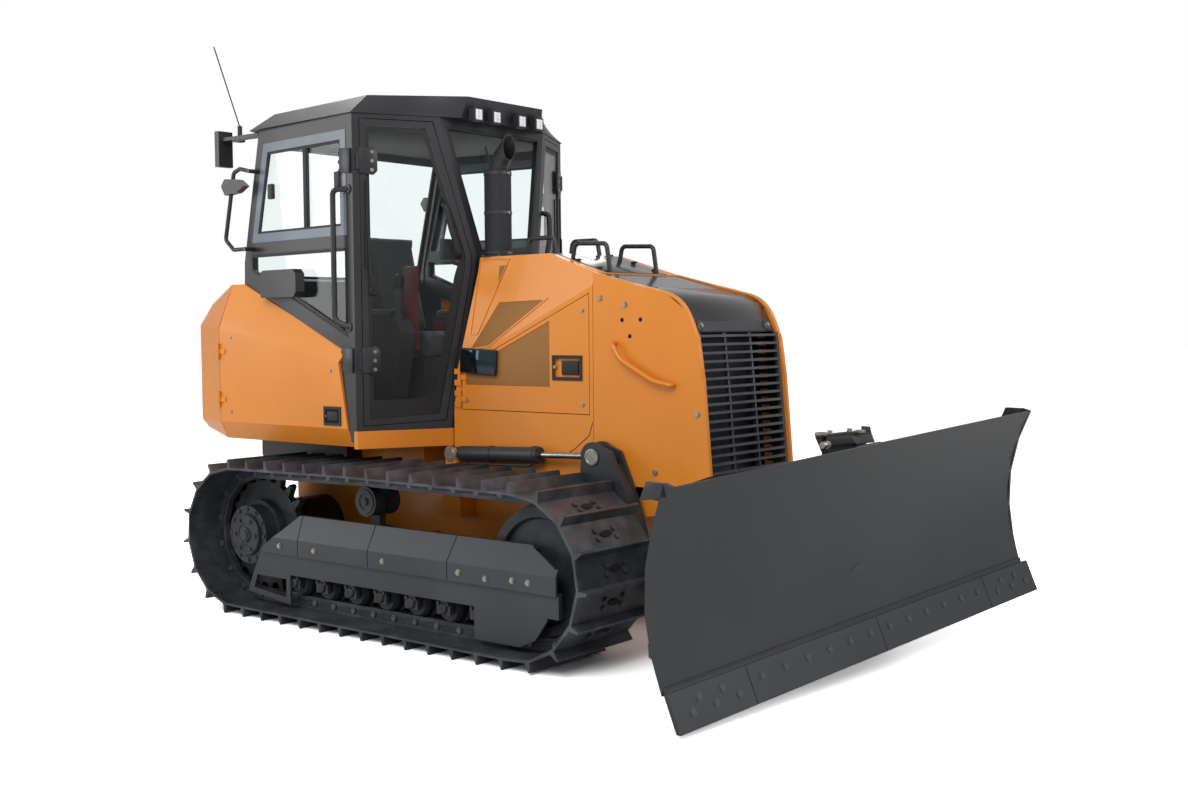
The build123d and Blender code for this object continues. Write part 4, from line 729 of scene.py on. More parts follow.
class Workshop:
    """Keeps the made materials and dresses pieces and nodes."""

    def __init__(self) -> None:
        """Make every finish once."""
        self.materials = {coat: coat.value.build() for coat in Coat}
        self.nodes = frame["nodes"]

    def dress(self, piece: Piece, coat: Coat, body: str = "machine", slot: str | None = None) -> Piece:
        """Give a new piece its finish and body.

        Args:
            piece: The new piece.
            coat: Its finish.
            body: Body that it rides on.
            slot: Material slot of the record, where it isn't the finish's usual one; not used.

        Returns:
            The same piece.
        """
        piece.data.materials.clear()
        piece.data.materials.append(self.materials[coat])
        slot = slot or USUAL_SLOT.get(coat, "black_paint")
        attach(piece, body)
        return piece

    def repaint(self, coat: Coat, *names: str) -> None:
        """Give carried-over solids a finish.

        Args:
            coat: The finish.
            names: Node names.
        """
        for name in names:
            node = self.nodes[name]
            if not node.data.materials:
                node.data.materials.append(self.materials[coat])
            for i in range(len(node.data.materials)):
                node.data.materials[i] = self.materials[coat]


# ---------------------------------------------------------------- flat working planes
@dataclass(frozen=True)
class Facet:
    """A flat side of the machine with its own along, up and outward directions.

    Attributes:
        origin: A point of the plane.
        along: Direction of the first coordinate.
        out: Outward direction.
    """

    origin: tuple[float, float, float]
    along: tuple[float, float, float]
    out: tuple[float, float, float]

    def point(self, u: float, v: float, w: float = 0.0) -> Vector:
        """Give the place of a point of the facet.

        Args:
            u: Distance along.
            v: Distance up.
            w: Distance outward.

        Returns:
            The point in millimetres.
        """
        along, out = Vector(self.along).normalized(), Vector(self.out).normalized()
        up = along.cross(out) * -1
        if up.z < 0:
            up = -up
        return Vector(self.origin) + along * u + up * v + out * w

    def slab(self, name: str, outline: Outline, low: float, high: float, side: int = -1,
             soften: float = 1.5) -> Piece:
        """Make a flat plate that lies on the facet.

        Args:
            name: Piece name.
            outline: Along and up coordinates of its corners.
            low: Height of its inner face over the facet.
            high: Height of its outer face over the facet.
            side: -1 for the machine's right side, 1 for its mirror image on the left.
            soften: Edge rounding.

        Returns:
            The finished plate.
        """
        ring = handed([self.point(u, v, low) for u, v in outline], side)
        push = handed([Vector(self.out).normalized() * (high - low)], side)[0]
        return plate(name, ring, push, soften)

    def border(self, name: str, outer: Outline, inner: Outline, low: float,
               high: float, side: int = -1) -> Piece:
        """Make a flat border between two outlines with the same number of corners.

        Args:
            name: Piece name.
            outer: Along and up coordinates of the outer corners.
            inner: Along and up coordinates of the inner corners.
            low: Height of its inner face over the facet.
            high: Height of its outer face over the facet.
            side: -1 for the machine's right side, 1 for its mirror image on the left.

        Returns:
            The finished border.
        """
        push = handed([Vector(self.out).normalized() * (high - low)], side)[0]
        shapes = []
        for i in range(len(outer)):
            j = (i + 1) % len(outer)
            ring = [self.point(u, v, low) for u, v in (outer[i], outer[j], inner[j], inner[i])]
            shapes.append((handed(ring, side), push))
        return stamped(name, shapes)

    def ring(self, name: str, outline: Outline, wide: float, low: float, high: float,
             side: int = -1) -> Piece:
        """Make a flat border of even width inside an outline.

        Args:
            name: Piece name.
            outline: Along and up coordinates of the outer corners.
            wide: Width of the border.
            low: Height of its inner face over the facet.
            high: Height of its outer face over the facet.
            side: -1 for the machine's right side, 1 for its mirror image on the left.

        Returns:
            The finished border.
        """
        return self.border(name, outline, inset(outline, wide), low, high, side)


PILLAR = (-616.7, -850.0, 0.0)
CAB_SIDE = Facet(PILLAR, (1.0, -0.1136, 0.0), (-0.1136, -1.0, 0.0))
CAB_DOOR = Facet(PILLAR, (0.533, 1.0, 0.0), (1.0, -0.533, 0.0))
HOOD_SIDE = Facet((0.0, -380.0, 0.0), (1.0, 0.0, 0.0), (0.0, -1.0, 0.0))
SHOULDER = Facet((-350.7, -380.0, 1385.0), (0.9153, 0.0, 0.4028), (-0.0826, -0.9788, 0.1876))
POD_SIDE = Facet((0.0, -850.0, 0.0), (1.0, 0.0, 0.0), (0.0, -1.0, 0.0))
SIDES = ((-1, "right"), (1, "left"))
# forward place and height of the running gear's and the cylinders' middles
SPROCKET, CARRIER, IDLER = (-1473.7, 440.0), (-543.7, 690.0), (678.3, 445.0)
TRUNNION, LIFT_BASE, LIFT_EYE = (506.3, 380.0), (-283.7, 930.0), (698.3, 965.0)
# half widths of the hood, pods, track guards, lift cylinders and angle cylinders' base pins
HOOD_HALF, POD_HALF, GUARD_HALF, LIFT_HALF, ANGLE_HALF = 380.0, 850.0, 965.0, 437.0, 530.0
# the parked blade: foot of the upright nose pin, turn to the right and tilt, reach and height of the tilt pin
NOSE = Vector((1741.3, 0, 0))
BLADE_YAW, BLADE_ROLL = math.radians(5.5), math.radians(3)
BLADE_REACH, TILT_PIN_Z, ANGLE_Z, TILT_Z = 312.0, 420.0, 565.0, 985.0


def blade_axes() -> tuple[Vector, Vector, Vector, Vector]:
    """Give the parked blade's directions.

    Returns:
        Forward, the yoke's left, the tilted blade's left and its up.
    """
    forward = Vector((math.cos(BLADE_YAW), -math.sin(BLADE_YAW), 0))
    left = Vector((math.sin(BLADE_YAW), math.cos(BLADE_YAW), 0))
    level = left * math.cos(BLADE_ROLL) + Vector((0, 0, math.sin(BLADE_ROLL)))
    return forward, left, level, forward.cross(level)


# ---------------------------------------------------------------- tracks
@dataclass(frozen=True)
class Belt:
    """Path of a track round its sprocket, carrier roller and idler.

    Attributes:
        wheels: Forward place, height, and radius to the grouser tips of each wheel.
        shoes: Number of shoes.
        middle: Half distance between the two tracks' middles.
    """

    wheels: tuple[tuple[float, float, float], ...] = ((*SPROCKET, 440.0), (*CARRIER, 205.0), (*IDLER, 445.0))
    shoes: int = 41
    middle: float = 773.0

    def stations(self, depth: float, share: float) -> list[tuple[Vector, Vector, Vector]]:
        """Give one place per shoe at a depth inside the grouser tips.

        Args:
            depth: Distance in from the grouser tips.
            share: Share of the shoe's length at which the place lies.

        Returns:
            Point, outward direction and running direction of each place, in the plane y = 0.
        """
        spans = []
        wheels = [(x, z, r - depth) for x, z, r in self.wheels]
        for i in range(3):
            (ax, az, ar), (bx, bz, br) = wheels[i], wheels[(i + 1) % 3]
            gap = math.hypot(bx - ax, bz - az)
            normal = math.atan2(bz - az, bx - ax) + math.pi / 2 - math.asin((ar - br) / gap)
            spans.append((normal, Vector((ax + ar * math.cos(normal), 0, az + ar * math.sin(normal))),
                          Vector((bx + br * math.cos(normal), 0, bz + br * math.sin(normal)))))
        legs = []
        for i in range(3):
            normal, start, end = spans[i]
            x, z, r = wheels[(i + 1) % 3]
            sweep = (normal - spans[(i + 1) % 3][0]) % (2 * math.pi)
            legs.append(((end - start).length, normal, start, end, None))
            legs.append((r * sweep, normal, Vector((x, 0, z)), None, r))
        total = sum(leg[0] for leg in legs)
        places = []
        for shoe in range(self.shoes):
            s = total * (shoe + share) / self.shoes
            for length, normal, start, end, r in legs:
                if s > length:
                    s -= length
                    continue
                angle = normal if r is None else normal - s / r
                out = Vector((math.cos(angle), 0, math.sin(angle)))
                here = start.lerp(end, s / length) if r is None else start + out * r
                places.append((here, out, Vector((out.z, 0, -out.x))))
                break
        return places


@dataclass
class TrackHardware:
    """Bolts, notches, link plates and pin ends of both tracks."""

    shop: Workshop
    belt: Belt = Belt()
    # depth of the shoes' outer face and of the chain's pins inside the grouser tips
    face_depth: float = 48.0
    pin_depth: float = 91.0
    # half spacing of a shoe's bolts and half size of its hole, across and along the track
    bolt_half: tuple[float, float] = (68, 21)
    hole_half: tuple[float, float] = (44, 17)
    link_half: float = 79.0

    def build(self) -> None:
        """Add the pieces of both tracks."""
        shop, slot = self.shop, "track_steel"
        (wide, long), (across, along) = self.bolt_half, self.hole_half
        for side, name in SIDES:
            middle = Vector((0, side * self.belt.middle, 0))
            heads, holes = [], []
            for here, out, run in self.belt.stations(self.face_depth, 0.5):
                seat = here + middle
                heads += [(seat + Vector((0, y, 0)) + run * x, out) for y in (-wide, wide) for x in (-long, long)]
                holes.append(([seat + Vector((0, across * math.cos(i * math.pi / 5), 0))
                               + run * along * math.sin(i * math.pi / 5) for i in range(10)], out * 0.5))
            shop.dress(bolts(f"shoe_bolts_{name}", heads, 12, 6), Coat.TRACK)
            # black plates on the shoes' holes are painted shade for the dark inside each hole
            shop.dress(stamped(f"shoe_holes_{name}", holes), Coat.PIT, slot=slot)
            links, pins = self.chain(middle)
            shop.dress(stamped(f"track_links_{name}", links), Coat.CAST, slot=slot)
            shop.dress(bolts(f"track_pins_{name}", pins, 15, 7, 12), Coat.WORN)
        LOG.info("tracks: bolts, holes, links, pins")

    def chain(self, middle: Vector) -> tuple[list, list]:
        """Give the link plates and pin ends of one chain.

        Args:
            middle: Middle of the track.

        Returns:
            Ring and push of each plate, and seat and direction of each pin end.
        """
        links, pins = [], []
        joints = [place[0] for place in self.belt.stations(self.pin_depth, 0.0)]
        for a, b in zip(joints, [*joints[1:], joints[0]]):
            along = (b - a).normalized()
            high = Vector((-along.z, 0, along.x)) * 17
            shape = ((-20, -0.4), (-12, -0.9), (26, -1.0), (118, -0.62), (132, 0.2), (118, 1.0), (16, 1.0), (-14, 0.8))
            for face in (-self.link_half, self.link_half):
                lift = middle + Vector((0, face, 0))
                push = Vector((0, math.copysign(5.5, face), 0))
                links.append(([a + along * u + high * v + lift for u, v in shape], push))
                pins.append((a + lift + push, push))
        return links, pins


# ---------------------------------------------------------------- undercarriage
@dataclass
class Undercarriage:
    """Roller, hub and idler caps, guard bolts and seams."""

    shop: Workshop
    roller_x: tuple[float, ...] = tuple(-1073.7 + 232 * i for i in range(7))
    # forward place, height of the round-headed bolts along the guard's ridge face
    guard_bolts: Outline = (
        (-1140, 411), (-846, 411), (-304, 411), (240, 411), (421, 400), (597, 411), (698, 411))
    # forward place of each seam at the guard's ridge and at its top edge
    seams: Outline = ((-985, -1010), (-420, -420), (160, 175))

    def build(self) -> None:
        """Add the pieces of both sides."""
        for side, name in SIDES:
            self.caps(side, name)
            self.guard(side, name)
        LOG.info("undercarriage: caps, bolts, seams")

    def caps(self, side: int, name: str) -> None:
        """Cap the rollers, the carrier roller, the drive hub and the idler."""
        out = (0, side, 0)
        table = (
            # forward, height, half width, ring table, corners
            (*CARRIER, 860.7, ((0, 66), (6, 64), (7, 44), (2, 42), (2, 22), (12, 20), (13, 8)), 32),
            (*SPROCKET, 937.7, ((0, 118), (6, 114), (6, 64), (1, 60), (1, 44), (12, 41), (14, 31)), 40),
            (*IDLER, 918.2, ((0, 62), (8, 62), (11, 54), (12, 30), (9, 28), (9, 14), (14, 12)), 32),
        )
        pieces = [turned("cap", (x, side * y, z), out, rings, sides) for x, z, y, rings, sides in table]
        pieces += [turned("cap", (x, side * 922.7, 205.3), out, ((0, 28), (4, 28), (8, 24), (9, 12), (7, 10)), 18)
                   for x in self.roller_x]
        self.shop.dress(join(f"hub_caps_{name}", pieces), Coat.CAST)
        saddle = [((x + dx, side * 918, 232), out) for x in self.roller_x for dx in (-32, 32)]
        saddle += [((IDLER[0] + dx, side * 918, IDLER[1] + dz), out) for dx in (-68, 68) for dz in (-36, 36)]
        self.shop.dress(bolts(f"saddle_bolts_{name}", saddle, 11, 9), Coat.CAST)
        x, z = SPROCKET
        # bolt circle's radius, half width and count
        hub = [((x + r * math.cos(a), side * y, z + r * math.sin(a)), out)
               for r, y, count in ((146, 923, 12), (89, 943.7, 6))
               for a in (math.tau * i / count for i in range(count))]
        self.shop.dress(bolts(f"hub_bolts_{name}", hub, 11, 8), Coat.CAST)

    def guard(self, side: int, name: str) -> None:
        """Bolt the guard and mark its seams."""
        heads = [((x, side * GUARD_HALF, z), (0, side, 0)) for x, z in self.guard_bolts]
        self.shop.dress(bolts(f"guard_bolts_{name}", heads, 13, 9, 12), Coat.ZINC)
        lift = Vector((0, side * 0.4, 0.2))
        marks = []
        # half width and height of a seam's foot, of the guard's ridge and of its top edge
        foot, ridge, top = (side * GUARD_HALF, 367), (side * GUARD_HALF, 455), (side * 902.2, 580)
        for low, high in self.seams:
            for (a, start), (b, end) in (((low, foot), (low, ridge)), ((low, ridge), (high, top))):
                marks.append((((a - 3, *start), (a + 3, *start), (b + 3, *end), (b - 3, *end)), lift))
        self.shop.dress(stamped(f"guard_seams_{name}", marks), Coat.PIT, slot="charcoal_paint")


# ---------------------------------------------------------------- hood
@dataclass
class HoodTrim:
    """Cooling sheets, latches, vents, seams, bolts, side plates and the black top of the hood."""

    shop: Workshop
    # outlines along and up the shoulder facet
    shoulder_sheet: Outline = ((162, 50), (425, 206), (738, 74), (292, 10))
    vent: Outline = ((471, 404), (530, 381), (431, 291))
    channel: Outline = ((168, 130), (224, 106), (556, 408), (345, 516))
    # outlines along and up the side
    door_sheet: Outline = ((-259, 1301.5), (338, 1301.5), (338, 1637), (-120, 1438), (-259, 1349))
    latch: Outline = ((360, 1336), (558, 1336), (558, 1464), (360, 1464))
    grip: Outline = ((420, 1364), (530, 1364), (530, 1436), (420, 1436))
    mirror: Outline = ((-288, 1366), (-26, 1350), (-18, 1488), (-288, 1500))
    # forward place and height of the bolts on the door, on the cowl, and of the open holes in the cowl
    door_bolts: Outline = ((376, 1404), (-250, 1215), (560, 1215), (560, 1690))
    cowl_bolts: Outline = ((675, 1751), (829, 1716), (1010, 900), (700, 900), (1260, 1190))
    cowl_holes: Outline = ((813, 1641), (926, 1642), (860, 1561))
    # dark seam at the foot of the cover
    seam: Outline = ((622, 1128), (600, 1061), (505, 989), (400, 930))
    # forward place and height of the corners of the cheek's smooth front edge, and of the black nose sheet
    cheek_line: Outline = (
        (880, 1822), (1175, 1752), (1268, 1556), (1294.3, 1360))
    nose_line: Outline = ((926, 1802), (1156, 1745), (1231, 1578))
    # hand rail on each cheek
    rail: Outline = ((772.3, 1527), (820, 1449), (1021, 1345), (1126, 1326))
    # black sheet inside each cheek: painted shade for the shadow inside the cowl
    painted_shade_sheet: Outline = ((1108, 845), (1281, 892), (1232, 1570), (1108, 1600))
    # forward place and height along the top
    top_line: Outline = ((-100, 1990), (289, 1990), (625, 1882.3))

    def build(self) -> None:
        """Add the trim of both sides and the top."""
        for side, name in SIDES:
            self.shoulder(side, name)
            self.door(side, name)
            self.cowl(side, name)
        self.top()
        LOG.info("hood: sheets, latches, vents, bolts, top")

    def shoulder(self, side: int, name: str) -> None:
        """Dress the slanted shoulder of the cover."""
        shop, sheet = self.shop, self.shoulder_sheet
        shop.dress(SHOULDER.slab(f"shoulder_mesh_{name}", sheet, 0.2, 2.0, side, 0.5), Coat.MESH_SIDE)
        rim = SHOULDER.border(f"shoulder_rim_{name}", inset(sheet, -8), sheet, 0.2, 4.5, side)
        shop.dress(rim, Coat.YELLOW)
        shop.dress(SHOULDER.slab(f"vent_{name}", self.vent, 0.2, 1.6, side, 0.4), Coat.MESH_SIDE)
        shop.dress(SHOULDER.ring(f"channel_{name}", self.channel, 6, 0.2, 5, side), Coat.YELLOW)

    def door(self, side: int, name: str) -> None:
        """Dress one engine door."""
        shop, body = self.shop, f"engine_door_{name}"
        sheet = HOOD_SIDE.slab(f"door_mesh_{name}", self.door_sheet, -5.8, -3.0, side, 0.5)
        shop.dress(sheet, Coat.MESH_SIDE, body)
        parts = [HOOD_SIDE.ring("frame", self.latch, 17, 0.2, 6, side),
                 HOOD_SIDE.slab("grip", self.grip, -9.8, 2, side, 3)]
        shop.dress(join(f"door_latch_{name}", parts), Coat.RUBBER, body)
        foot = ((-270, 1400), (-210, 1400), (-210, 1460), (-270, 1460))
        parts = [HOOD_SIDE.slab("shell", self.mirror, 6, 20, side, 5),
                 HOOD_SIDE.slab("foot", foot, 0.2, 8, side, 2)]
        shop.dress(join(f"mirror_shell_{name}", parts), Coat.RUBBER, body)
        face = HOOD_SIDE.slab(f"mirror_face_{name}", inset(self.mirror, 8), 19.6, 21.2, side, 0.5)
        shop.dress(face, Coat.MIRROR, body)
        shop.dress(bolts(f"door_bolts_{name}", self.seats(self.door_bolts, side), 9, 7, 12), Coat.ZINC, body)

    def cowl(self, side: int, name: str) -> None:
        """Bolt the cowl's cheek and mark its holes and the seam below the door."""
        shop = self.shop
        shop.dress(bolts(f"cowl_bolts_{name}", self.seats(self.cowl_bolts, side), 13, 9, 12), Coat.ZINC)
        push, marks = (0, side * 0.5, 0), []
        # black discs at the open holes are painted shade for the dark inside them
        for x, z in self.cowl_holes:
            marks.append(([(x + 11 * math.cos(a), side * HOOD_HALF, z + 11 * math.sin(a))
                           for a in (i * math.pi / 6 for i in range(12))], push))
        for (ax, az), (bx, bz) in zip(self.seam, self.seam[1:]):
            run = Vector((bx - ax, 0, bz - az)).normalized()
            wide = Vector((-run.z, 0, run.x)) * 2.2
            start, end = Vector((ax, side * HOOD_HALF, az)), Vector((bx, side * HOOD_HALF, bz))
            marks.append(([start - wide, end - wide, end + wide, start + wide], push))
        shop.dress(stamped(f"cowl_marks_{name}", marks), Coat.PIT, slot="yellow_paint")

        edge = rounded([(x, side * 357.4, z) for x, z in self.cheek_line], 115, 8)
        rim = plate(f"cowl_rim_{name}", self.band(edge, 16), (0, side * 23.8, 0), 4)
        shop.dress(rim, Coat.YELLOW)
        ends = [(x, side * HOOD_HALF, z) for x, z in (self.rail[0], self.rail[-1])]
        path = [ends[0], *[(x, side * 412, z) for x, z in self.rail], ends[1]]
        shop.dress(tube(f"cowl_rail_{name}", path, 12, 34, 4), Coat.YELLOW)
        # black sheet inside the cheek, painted shade that stands for the shadow inside the cowl
        painted_shade_sheet = HOOD_SIDE.slab(f"cowl_painted_shade_sheet_{name}", self.painted_shade_sheet, -28, -22.5, side, 0)
        shop.dress(painted_shade_sheet, Coat.RUBBER)
        # corners of a stud about its middle; the row leans forward towards its foot
        corners = ((-24, -11), (24, -11), (24, 11), (-24, 11))
        studs = [(handed([HOOD_SIDE.point(1156 + 0.073 * (1560 - z) + u, z + v, -28) for u, v in corners], side),
                  (0, -side * 0.6, 0)) for z in range(900, 1560, 41)]
        shop.dress(stamped(f"cowl_studs_{name}", studs), Coat.YELLOW)

    def band(self, line: Sequence[Vector], deep: float) -> list[Vector]:
        """Give the outline of a band below a curve that lies in a plane of even y.

        Args:
            line: Points of the curve, from the rear down to the front.
            deep: Depth of the band.

        Returns:
            The curve, and back along its copy below.
        """
        below = []
        for before, here, after in zip([line[0], *line], line, [*line[1:], line[-1]]):
            run = (after - before).normalized()
            below.append(here + Vector((run.z, 0, -run.x)) * deep)
        return [*line, *reversed(below)]

    def seats(self, table: Outline, side: int) -> list[tuple[Point, Point]]:
        """Give seat and direction of bolts on the hood's side."""
        return [((x, side * HOOD_HALF, z), (0, side, 0)) for x, z in table]

    def top(self) -> None:
        """Lay the polished black top sheet with its small catches."""
        half, parts = 258, []
        for (x0, z0), (x1, z1) in zip(self.top_line, self.top_line[1:]):
            ring = ((x0, -half, z0), (x1, -half, z1), (x1, half, z1), (x0, half, z0))
            parts.append(plate("sheet", ring, (0, 0, 3), 0.8))
        self.shop.dress(join("hood_sheet", parts), Coat.GLOSS_BLACK)
        nose = rounded([(x, -356, z) for x, z in self.nose_line], 115, 8)
        self.shop.dress(plate("hood_nose", self.band(nose, 8), (0, 712, 0), 1), Coat.GLOSS_BLACK)
        out = (0.91, 0, 0.414)
        panel = [plate("panel", ((1207, -340, 1632), (1207, 340, 1632), (1230, 340, 1581), (1230, -340, 1581)),
                       (3.6, 0, 1.7), 1)]
        panel += [turned("boss", (1217, y, 1607), out, ((0, 30), (8, 30), (11, 26), (12, 14), (4, 12)), 28)
                  for y in (-300, 300)]
        self.shop.dress(join("nose_panel", panel), Coat.CAB_BLACK)
        self.shop.dress(bolts("nose_bolts", [((1226, y, 1611), out) for y in (-300, 300)], 12, 9), Coat.ZINC)
        catches = [block("catch", (x - 16, y - 8, z), (x + 16, y + 8, z + 11), 2) for y in (-238, 238)
                   for x, z in ((-60, 1992), (255, 1992), (420, 1950), (560, 1905))]
        self.shop.dress(join("hood_catches", catches), Coat.CAB_BLACK)


# ---------------------------------------------------------------- exhaust
@dataclass
class Exhaust:
    """Punched heat guard with its bands round the exhaust stack."""

    shop: Workshop
    place: tuple[float, float, float] = (-185.7, -190.0, 1990.0)

    def build(self) -> None:
        """Add the guard and bands."""
        up = (0, 0, 1)
        x, y, z = self.place
        sleeve = turned("exhaust_guard", (x, y, z + 1), up,
                        ((0, 72.3), (2, 74), (466, 74), (469.5, 71), (469.5, 53)), 48)
        self.shop.dress(sleeve, Coat.MESH_PIPE)
        bands = [turned("band", (x, y, z + h), up, ((0, 74.1), (0.5, 77), (17, 77), (17.5, 74.1)), 48)
                 for h in (14, 232, 444)]
        self.shop.dress(join("exhaust_bands", bands), Coat.CAB_BLACK)
        self.shop.dress(bolts("exhaust_bolts", [((x + 77, y, z + h), (1, 0, 0)) for h in (22, 240, 452)], 7, 9),
                        Coat.ZINC)
        foot = [((x + 84 * math.cos(a), y + 84 * math.sin(a), z + 4), up) for a in (0.8, 2.4, 3.9, 5.5)]
        collar = turned("exhaust_collar", (x, y, z + 0.4), up, ((0, 98), (5, 98), (7, 90), (9, 75)), 40)
        self.shop.dress(collar, Coat.CAB_BLACK)
        self.shop.dress(bolts("collar_bolts", foot, 7, 6), Coat.ZINC)
        LOG.info("exhaust: guard and bands")


# ---------------------------------------------------------------- cab
@dataclass
class CabTrim:
    """Window frames, seals, hinge plates, handles, wipers and lamps of the cab."""

    shop: Workshop
    # side windows, along and up the side facet
    upper: Outline = ((-1013, 2106), (-868, 2664), (-58, 2664), (-58, 2106))
    lower: Outline = ((-1030, 1946), (-62, 1561), (-62, 2040), (-1030, 2040))
    # door pane and its clear part, along and up the door facet
    pane: Outline = ((77, 1124), (459, 1144), (616, 1940), (614, 2007), (405, 2680), (77, 2680))
    clear: Outline = ((97, 1222), (432, 1230), (556, 1890), (592, 2000), (390, 2652), (92, 2652))

    def build(self) -> None:
        """Add the trim of both sides, the front, the rear and the roof."""
        for side, name in SIDES:
            self.windows(side, name)
            self.door(side, name)
            self.hinges(side, name)
            self.post(side, name)
        self.front_and_rear()
        self.lamps()
        LOG.info("cab: frames, seals, doors, lamps")

    def windows(self, side: int, name: str) -> None:
        """Frame the side windows of one side."""
        shop = self.shop
        shop.dress(CAB_SIDE.ring(f"window_frame_{name}", self.upper, 50, -11.8, 2.5, side), Coat.FRAME_BLUE)
        seals = [CAB_SIDE.ring("seal", inset(self.upper, 50), 13, -11.8, -3, side),
                 CAB_SIDE.ring("seal", self.lower, 18, -11.8, 1, side)]
        seals += [CAB_SIDE.slab("bar", ((u, 2168), (u + w, 2168), (u + w, 2602), (u, 2602)), -11.8, -2, side)
                  for u, w in ((-475, 34), (-434, 9))]
        shop.dress(join(f"window_seals_{name}", seals), Coat.RUBBER)
        catches = [CAB_SIDE.slab("catch", ((u, v), (u + 46, v), (u + 46, v + 86), (u, v + 86)), -8, 18, side, 7)
                   for u, v in ((-815, 2345), (-150, 2360))]
        shop.dress(join(f"window_catches_{name}", catches), Coat.PLASTIC)

    def door(self, side: int, name: str) -> None:
        """Add the black border, the handle and the wiper of one cab door."""
        shop, body = self.shop, f"cab_door_{name}"
        border = CAB_DOOR.border(f"door_border_{name}", self.pane, self.clear, -8, -7.3, side)
        shop.dress(border, Coat.RUBBER, body)

        def line(*points: tuple[float, float, float]) -> list[Vector]:
            """Turn places along, up and out of the door into a run of points."""
            return handed([CAB_DOOR.point(*p) for p in points], side)

        grip = line((498, 2276, -7), (500, 2266, 36), (526, 2140, 46), (574, 2006, 36), (580, 1996, -7))
        shop.dress(tube(f"door_handle_{name}", grip, 15, 26), Coat.RUBBER, body)
        parts = [tube("rubber", line((75, 2395, 10), (66, 1934, 10)), 6, 1),
                 tube("arm", line((104, 1800, -6), (104, 1802, 20), (84, 1900, 20), (76, 2150, 16)), 6, 12)]
        pivot, away = handed([CAB_DOOR.point(104, 1802, -7), CAB_DOOR.out], side)
        parts.append(turned("pivot", pivot, away, ((0, 24), (8, 24), (12, 18), (24, 15), (25, 8)), 18))
        shop.dress(join(f"door_wiper_{name}", parts), Coat.RUBBER, body)

    def hinges(self, side: int, name: str) -> None:
        """Add the bolted hinge plates of one cab door and of its pillar."""
        leaves, brackets, leaf_bolts = [], [], []
        for z in (1436, 2494):
            ring = ((34, z - 62), (112, z - 74), (134, z - 52), (134, z + 52), (112, z + 74), (34, z + 68))
            leaves.append(CAB_DOOR.slab("leaf", ring, 3.6, 10, side, 2))
            ring = ((-106, z - 56), (-14, z - 66), (-14, z + 66), (-106, z + 72))
            brackets.append(CAB_SIDE.slab("bracket", ring, 0.4, 12, side, 3))
            for step in (-47, 0, 47):
                seat, head = handed([CAB_DOOR.point(104, z + step, 10), CAB_DOOR.out], side)
                leaf_bolts.append((seat, head))
                knuckle = handed([CAB_SIDE.point(-112, z + step + up, 4) for up in (-9, 9)], side)
                brackets.append(tube("knuckle", knuckle, 8, 1))
        shop = self.shop
        shop.dress(join(f"hinge_leaves_{name}", leaves), Coat.CAB_BLACK, f"cab_door_{name}")
        shop.dress(join(f"hinge_brackets_{name}", brackets), Coat.CAB_BLACK)
        shop.dress(bolts(f"hinge_bolts_{name}", leaf_bolts, 8, 6, 12), Coat.ZINC, f"cab_door_{name}")

    def post(self, side: int, name: str) -> None:
        """Add the round grab post beside one door."""
        path = handed([CAB_SIDE.point(*spot) for spot in (
            (-40, 2347, -1), (-118, 2347, 46), (-118, 1650, 46), (-50, 1616, -1))], side)
        ends = handed([CAB_SIDE.point(-40, 2347, 0.3), CAB_SIDE.point(-50, 1616, 0.3), CAB_SIDE.out], side)
        pieces = [tube("post", path, 15, 34)]
        pieces += [turned("foot", ends[i], ends[2], ((0, 26), (5, 26), (7, 20)), 20) for i in (0, 1)]
        self.shop.dress(join(f"grab_post_{name}", pieces), Coat.CAB_BLACK)

    def front_and_rear(self) -> None:
        """Seal the windscreen and the rear window and add their wipers."""
        front = Facet((-294.7, 0, 2000), (0, -1, 0), (0.992, 0, 0.1284))
        screen = ((-212, 24), (212, 24), (387, 709), (-387, 709))
        rear = Facet((-1713.7, 0, 2000), (0, 1, 0), (-0.9705, 0, 0.241))
        window = ((-675, -90), (675, -90), (675, 690), (-675, 690))
        for name, facet, outline in (("screen", front, screen), ("rear", rear, window)):
            self.shop.dress(facet.ring(f"{name}_seal", outline, 16, -11.8, 1), Coat.RUBBER)
        for name, facet, line in (("screen", front, ((0, 30), (60, 420))),
                                  ("rear", rear, ((0, 660), (20, 330)))):
            (a, b), (c, d) = line
            arm = [facet.point(a, b, -2), facet.point(a, b, 20), facet.point(c, d, 14)]
            parts = [tube("arm", arm, 5, 10),
                     tube("rubber", [facet.point(c - 40, d - 230, 6), facet.point(c + 30, d + 200, 6)], 6, 1)]
            self.shop.dress(join(f"{name}_wiper", parts), Coat.RUBBER)

    def lamps(self) -> None:
        """Give the roof lamps their bezels and lenses, and dress the rear lamp."""
        x, z = -266.4, 2765.0
        lenses, dots, rims = [], [], []
        for y in (-250, -104, 104, 250):
            rims.append(plate("rim", upright(x, y, z, 35, 34), (3.5, 0, 0), 3))
            lenses.append(plate("lens", upright(x + 3, y, z, 25, 28), (3, 0, 0), 2))
            for dy in (-13, 13):
                for dz in (-18, 0, 18):
                    dots.append(((x + 6, y + dy, z + dz), (1, 0, 0)))
        self.shop.dress(join("lamp_rims", rims), Coat.PLASTIC, slot="black_paint")
        self.shop.dress(join("lamp_lenses", lenses), Coat.LENS)
        self.shop.dress(bolts("lamp_cells", dots, 7, 1.5, 12), Coat.LENS_CELL)
        back = plate("rear_lens", upright(-1987.2, -670, 2680, 40, 90), (-3, 0, 0), 2)
        self.shop.dress(back, Coat.LENS)


